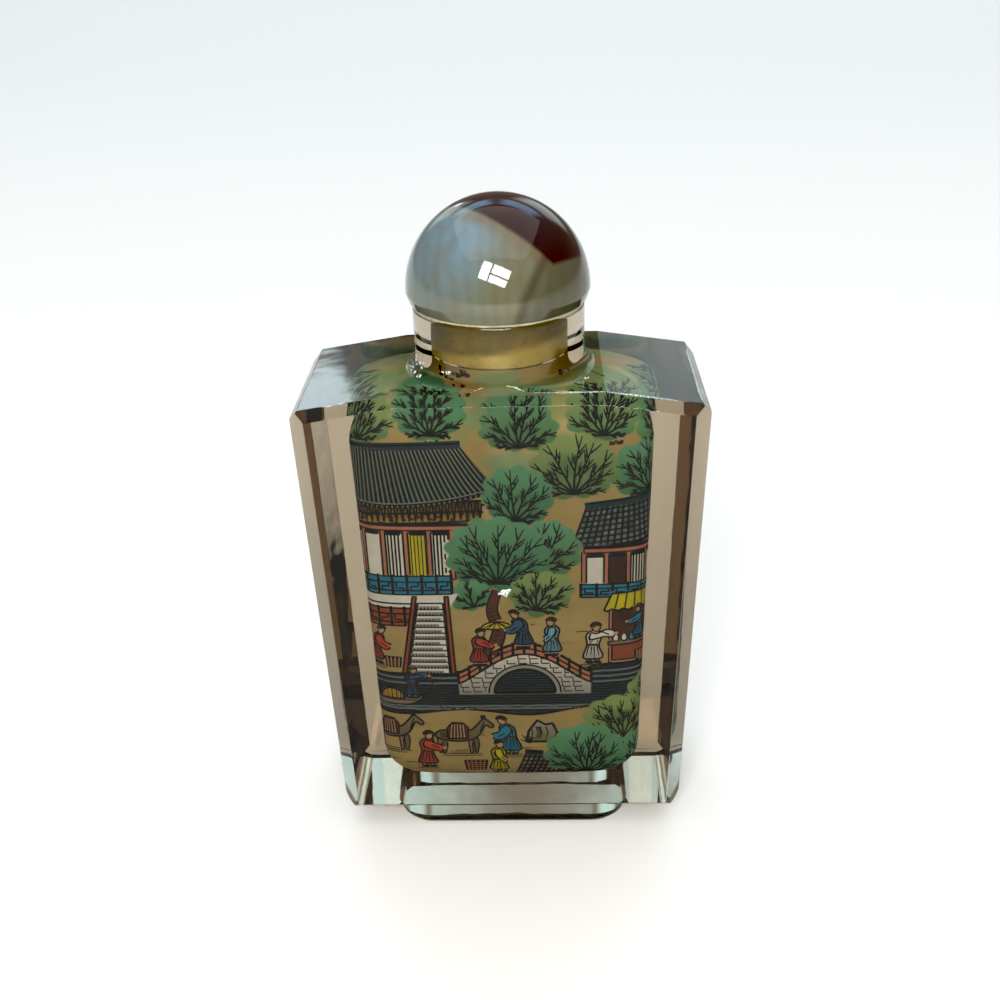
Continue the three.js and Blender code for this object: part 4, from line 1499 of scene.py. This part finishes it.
CAMERA_AT = (5.065, -141.244, 119.274)
CAMERA_PITCH, CAMERA_YAW, CAMERA_ROLL = 27.636, -2.307, -1.982  # degrees
FOCAL, SENSOR = 43.86, 36
WINDOW_POWER = 51.0  # watts for each square metre of pane
OVERHEAD_POWER, FAR_POWER = 29, 20  # watts
WINDOW_SIZE, WINDOW_SPLIT, WINDOW_BAR = (0.60, 0.38), (0.36, 0.45), 0.03  # metres, and shares of the size
COOL, ICE = (0.78, 0.95, 1.0), (0.4, 0.72, 1.0)
SOFTBOX_AIM, SOFTBOX_DISTANCE = Vector((0, 0, 0.04)), 1.9  # metres
SOFTBOX_FADE = 0.22  # how far from the middle the light starts to fade, as a share of the box
WALL_COLOUR, CEILING_COLOUR = (0.34, 0.297, 0.25), (0.44, 0.47, 0.48)
FLOOR_GAP = 0.03  # the air under the foot
FLOOR_REACH = 12000.0
BLACK_LEVEL, GAMMA = 0.028, 0.88


def build_camera():
    pitch, yaw, roll = (radians(v) for v in (CAMERA_PITCH, CAMERA_YAW, CAMERA_ROLL))
    ahead = Vector((sin(yaw) * cos(pitch), cos(yaw) * cos(pitch), -sin(pitch)))
    right = Vector((cos(yaw), -sin(yaw), 0))
    up = right.cross(ahead)
    right, up = right * cos(roll) + up * sin(roll), up * cos(roll) - right * sin(roll)
    data = bpy.data.cameras.new("camera")
    data.lens, data.sensor_width = FOCAL, SENSOR
    data.clip_start, data.clip_end = 0.005, 50
    camera = bpy.data.objects.new("camera", data)
    turn = Matrix((right, up, -ahead)).transposed().to_4x4()
    camera.matrix_world = Matrix.Translation(Vector(CAMERA_AT) * MM) @ turn
    bpy.context.scene.collection.objects.link(camera)
    bpy.context.scene.camera = camera


def area_light(name, at, aim, size, power, colour):
    """A rectangular light, in metres and watts."""
    data = bpy.data.lights.new(name, "AREA")
    data.shape, data.size, data.size_y = "RECTANGLE", size[0], size[1]
    data.energy, data.color = power, colour
    light = bpy.data.objects.new(name, data)
    light.location = at
    light.rotation_euler = (Vector(aim) - Vector(at)).to_track_quat("-Z", "Y").to_euler()
    bpy.context.scene.collection.objects.link(light)
    return light


def window_light():
    """A slanting window behind the camera, as three panes with bars between them."""
    aim, distance = Vector((0, 0, 0.074)), 0.9
    elevation, azimuth, tilt = radians(32), radians(-2), radians(-22)
    level_part = cos(elevation)
    away = Vector((sin(azimuth) * level_part, -cos(azimuth) * level_part, sin(elevation)))
    right = Vector((cos(azimuth), sin(azimuth), 0))
    up = away.cross(right)
    across = right * cos(tilt) + up * sin(tilt)
    along = up * cos(tilt) - right * sin(tilt)
    (wide, high), (split_x, split_y) = WINDOW_SIZE, WINDOW_SPLIT
    for name, x0, x1, y0, y1 in (
        ("pane_left", 0, split_x, 0, 1),
        ("pane_top", split_x, 1, split_y, 1),
        ("pane_low", split_x, 1, 0, split_y),
    ):
        w, h = (x1 - x0) * wide - WINDOW_BAR, (y1 - y0) * high - WINDOW_BAR
        middle = across * ((x0 + x1) / 2 - 0.5) * wide + along * ((y0 + y1) / 2 - 0.5) * high
        centre = aim + away * distance + middle
        light = area_light(name, centre, aim, (w, h), WINDOW_POWER * w * h, (1.0, 0.985, 0.96))
        light.rotation_euler = Matrix((across, along, away)).transposed().to_euler()


def softbox(name, azimuths, elevations, radiance, colour):
    """A light behind the object over a range of directions, in degrees from +Y towards +X and up.

    It fades out towards its edges.
    """
    turn, rise = (radians(sum(pair) / 2) for pair in (azimuths, elevations))
    away = Vector((sin(turn) * cos(rise), cos(turn) * cos(rise), sin(rise)))
    spans = (abs(pair[1] - pair[0]) for pair in (azimuths, elevations))
    wide, high = (2 * SOFTBOX_DISTANCE * tan(radians(span / 2)) for span in spans)
    power = pi * wide * high * radiance
    light = area_light(name, SOFTBOX_AIM + away * SOFTBOX_DISTANCE, SOFTBOX_AIM, (wide, high), power, colour)
    light.data.use_nodes = True
    tree = light.data.node_tree
    across = tree.nodes.new("ShaderNodeSeparateXYZ")
    wire(tree, tree.nodes.new("ShaderNodeNewGeometry").outputs["Parametric"], across.inputs[0])
    fades = []
    for output in across.outputs[:2]:
        off_centre = maths(tree, "ABSOLUTE", maths(tree, "SUBTRACT", output, 0.5))
        fades.append(mapped(tree, off_centre, 0.5, SOFTBOX_FADE))
    wire(tree, maths(tree, "MULTIPLY", *fades), tree.nodes["Emission"].inputs["Strength"])


def build_floor():
    corners = [(-1, -1), (1, -1), (1, 1), (-1, 1)]
    points = [(x * FLOOR_REACH, (y + 1 / 4) * FLOOR_REACH, -FLOOR_GAP) for x, y in corners]
    floor = new_object("floor", mesh_from("floor", points, [(0, 1, 2, 3)]))
    pale = {"Base_Color": (0.8, 0.79, 0.775, 1), "Specular_IOR_Level": 0.2}
    floor.data.materials.append(new_material("floor", Roughness=0.9, **pale)[0])


def build_world():
    """A dim, warm grey room with a paler, cooler ceiling."""
    world = bpy.data.worlds.new("world")
    world.use_nodes = True
    tree = world.node_tree
    place = tree.nodes.new("ShaderNodeTexCoord").outputs["Generated"]
    rise = vector_maths(tree, "DOT_PRODUCT", place, (0.0, 0.0, 1.0), "Value")
    colour = mixed(tree, mapped(tree, rise, 0.3, 0.75), WALL_COLOUR, CEILING_COLOUR)
    wire(tree, colour, tree.nodes["Background"].inputs["Color"])
    bpy.context.scene.world = world


def build_studio():
    build_floor()
    build_world()
    window_light()
    area_light("overhead", (0.0, 0.0, 2.2), (0, 0, 0), (3.4, 3.4), OVERHEAD_POWER, (0.98, 0.99, 1.0))
    far = area_light("far_fill", (0.0, 2.6, 2.0), (0, 1.6, 0), (4.0, 3.0), FAR_POWER, (1.0, 0.99, 0.98))
    far.visible_glossy = far.visible_transmission = False
    softbox("back_left", (-36, -13), (8, 34), 1.0, COOL)
    softbox("back_right", (6, 38), (8, 34), 1.3, COOL)
    softbox("low_left", (-36, -6.2), (33, 51), 2.2, ICE)
    softbox("low_right", (3.6, 36), (33, 51), 1.9, ICE)
    softbox("low_middle", (-10, 8), (28, 52), 0.1, COOL)
    softbox("streak", (-20.5, -16.0), (16, 23.5), 2.8, COOL)
    scene = bpy.context.scene
    view = scene.view_settings
    view.view_transform, view.gamma, view.use_curve_mapping = "Standard", GAMMA, True
    view.curve_mapping.black_level = (BLACK_LEVEL,) * 3
    view.curve_mapping.update()
    scene.cycles.max_bounces = 24
    scene.cycles.transmission_bounces = 20
    scene.cycles.glossy_bounces = 8


build_camera()
build_glass()
build_chips_and_highlights()
build_cap()
build_plug()
build_seat()
build_painting()
build_studio()
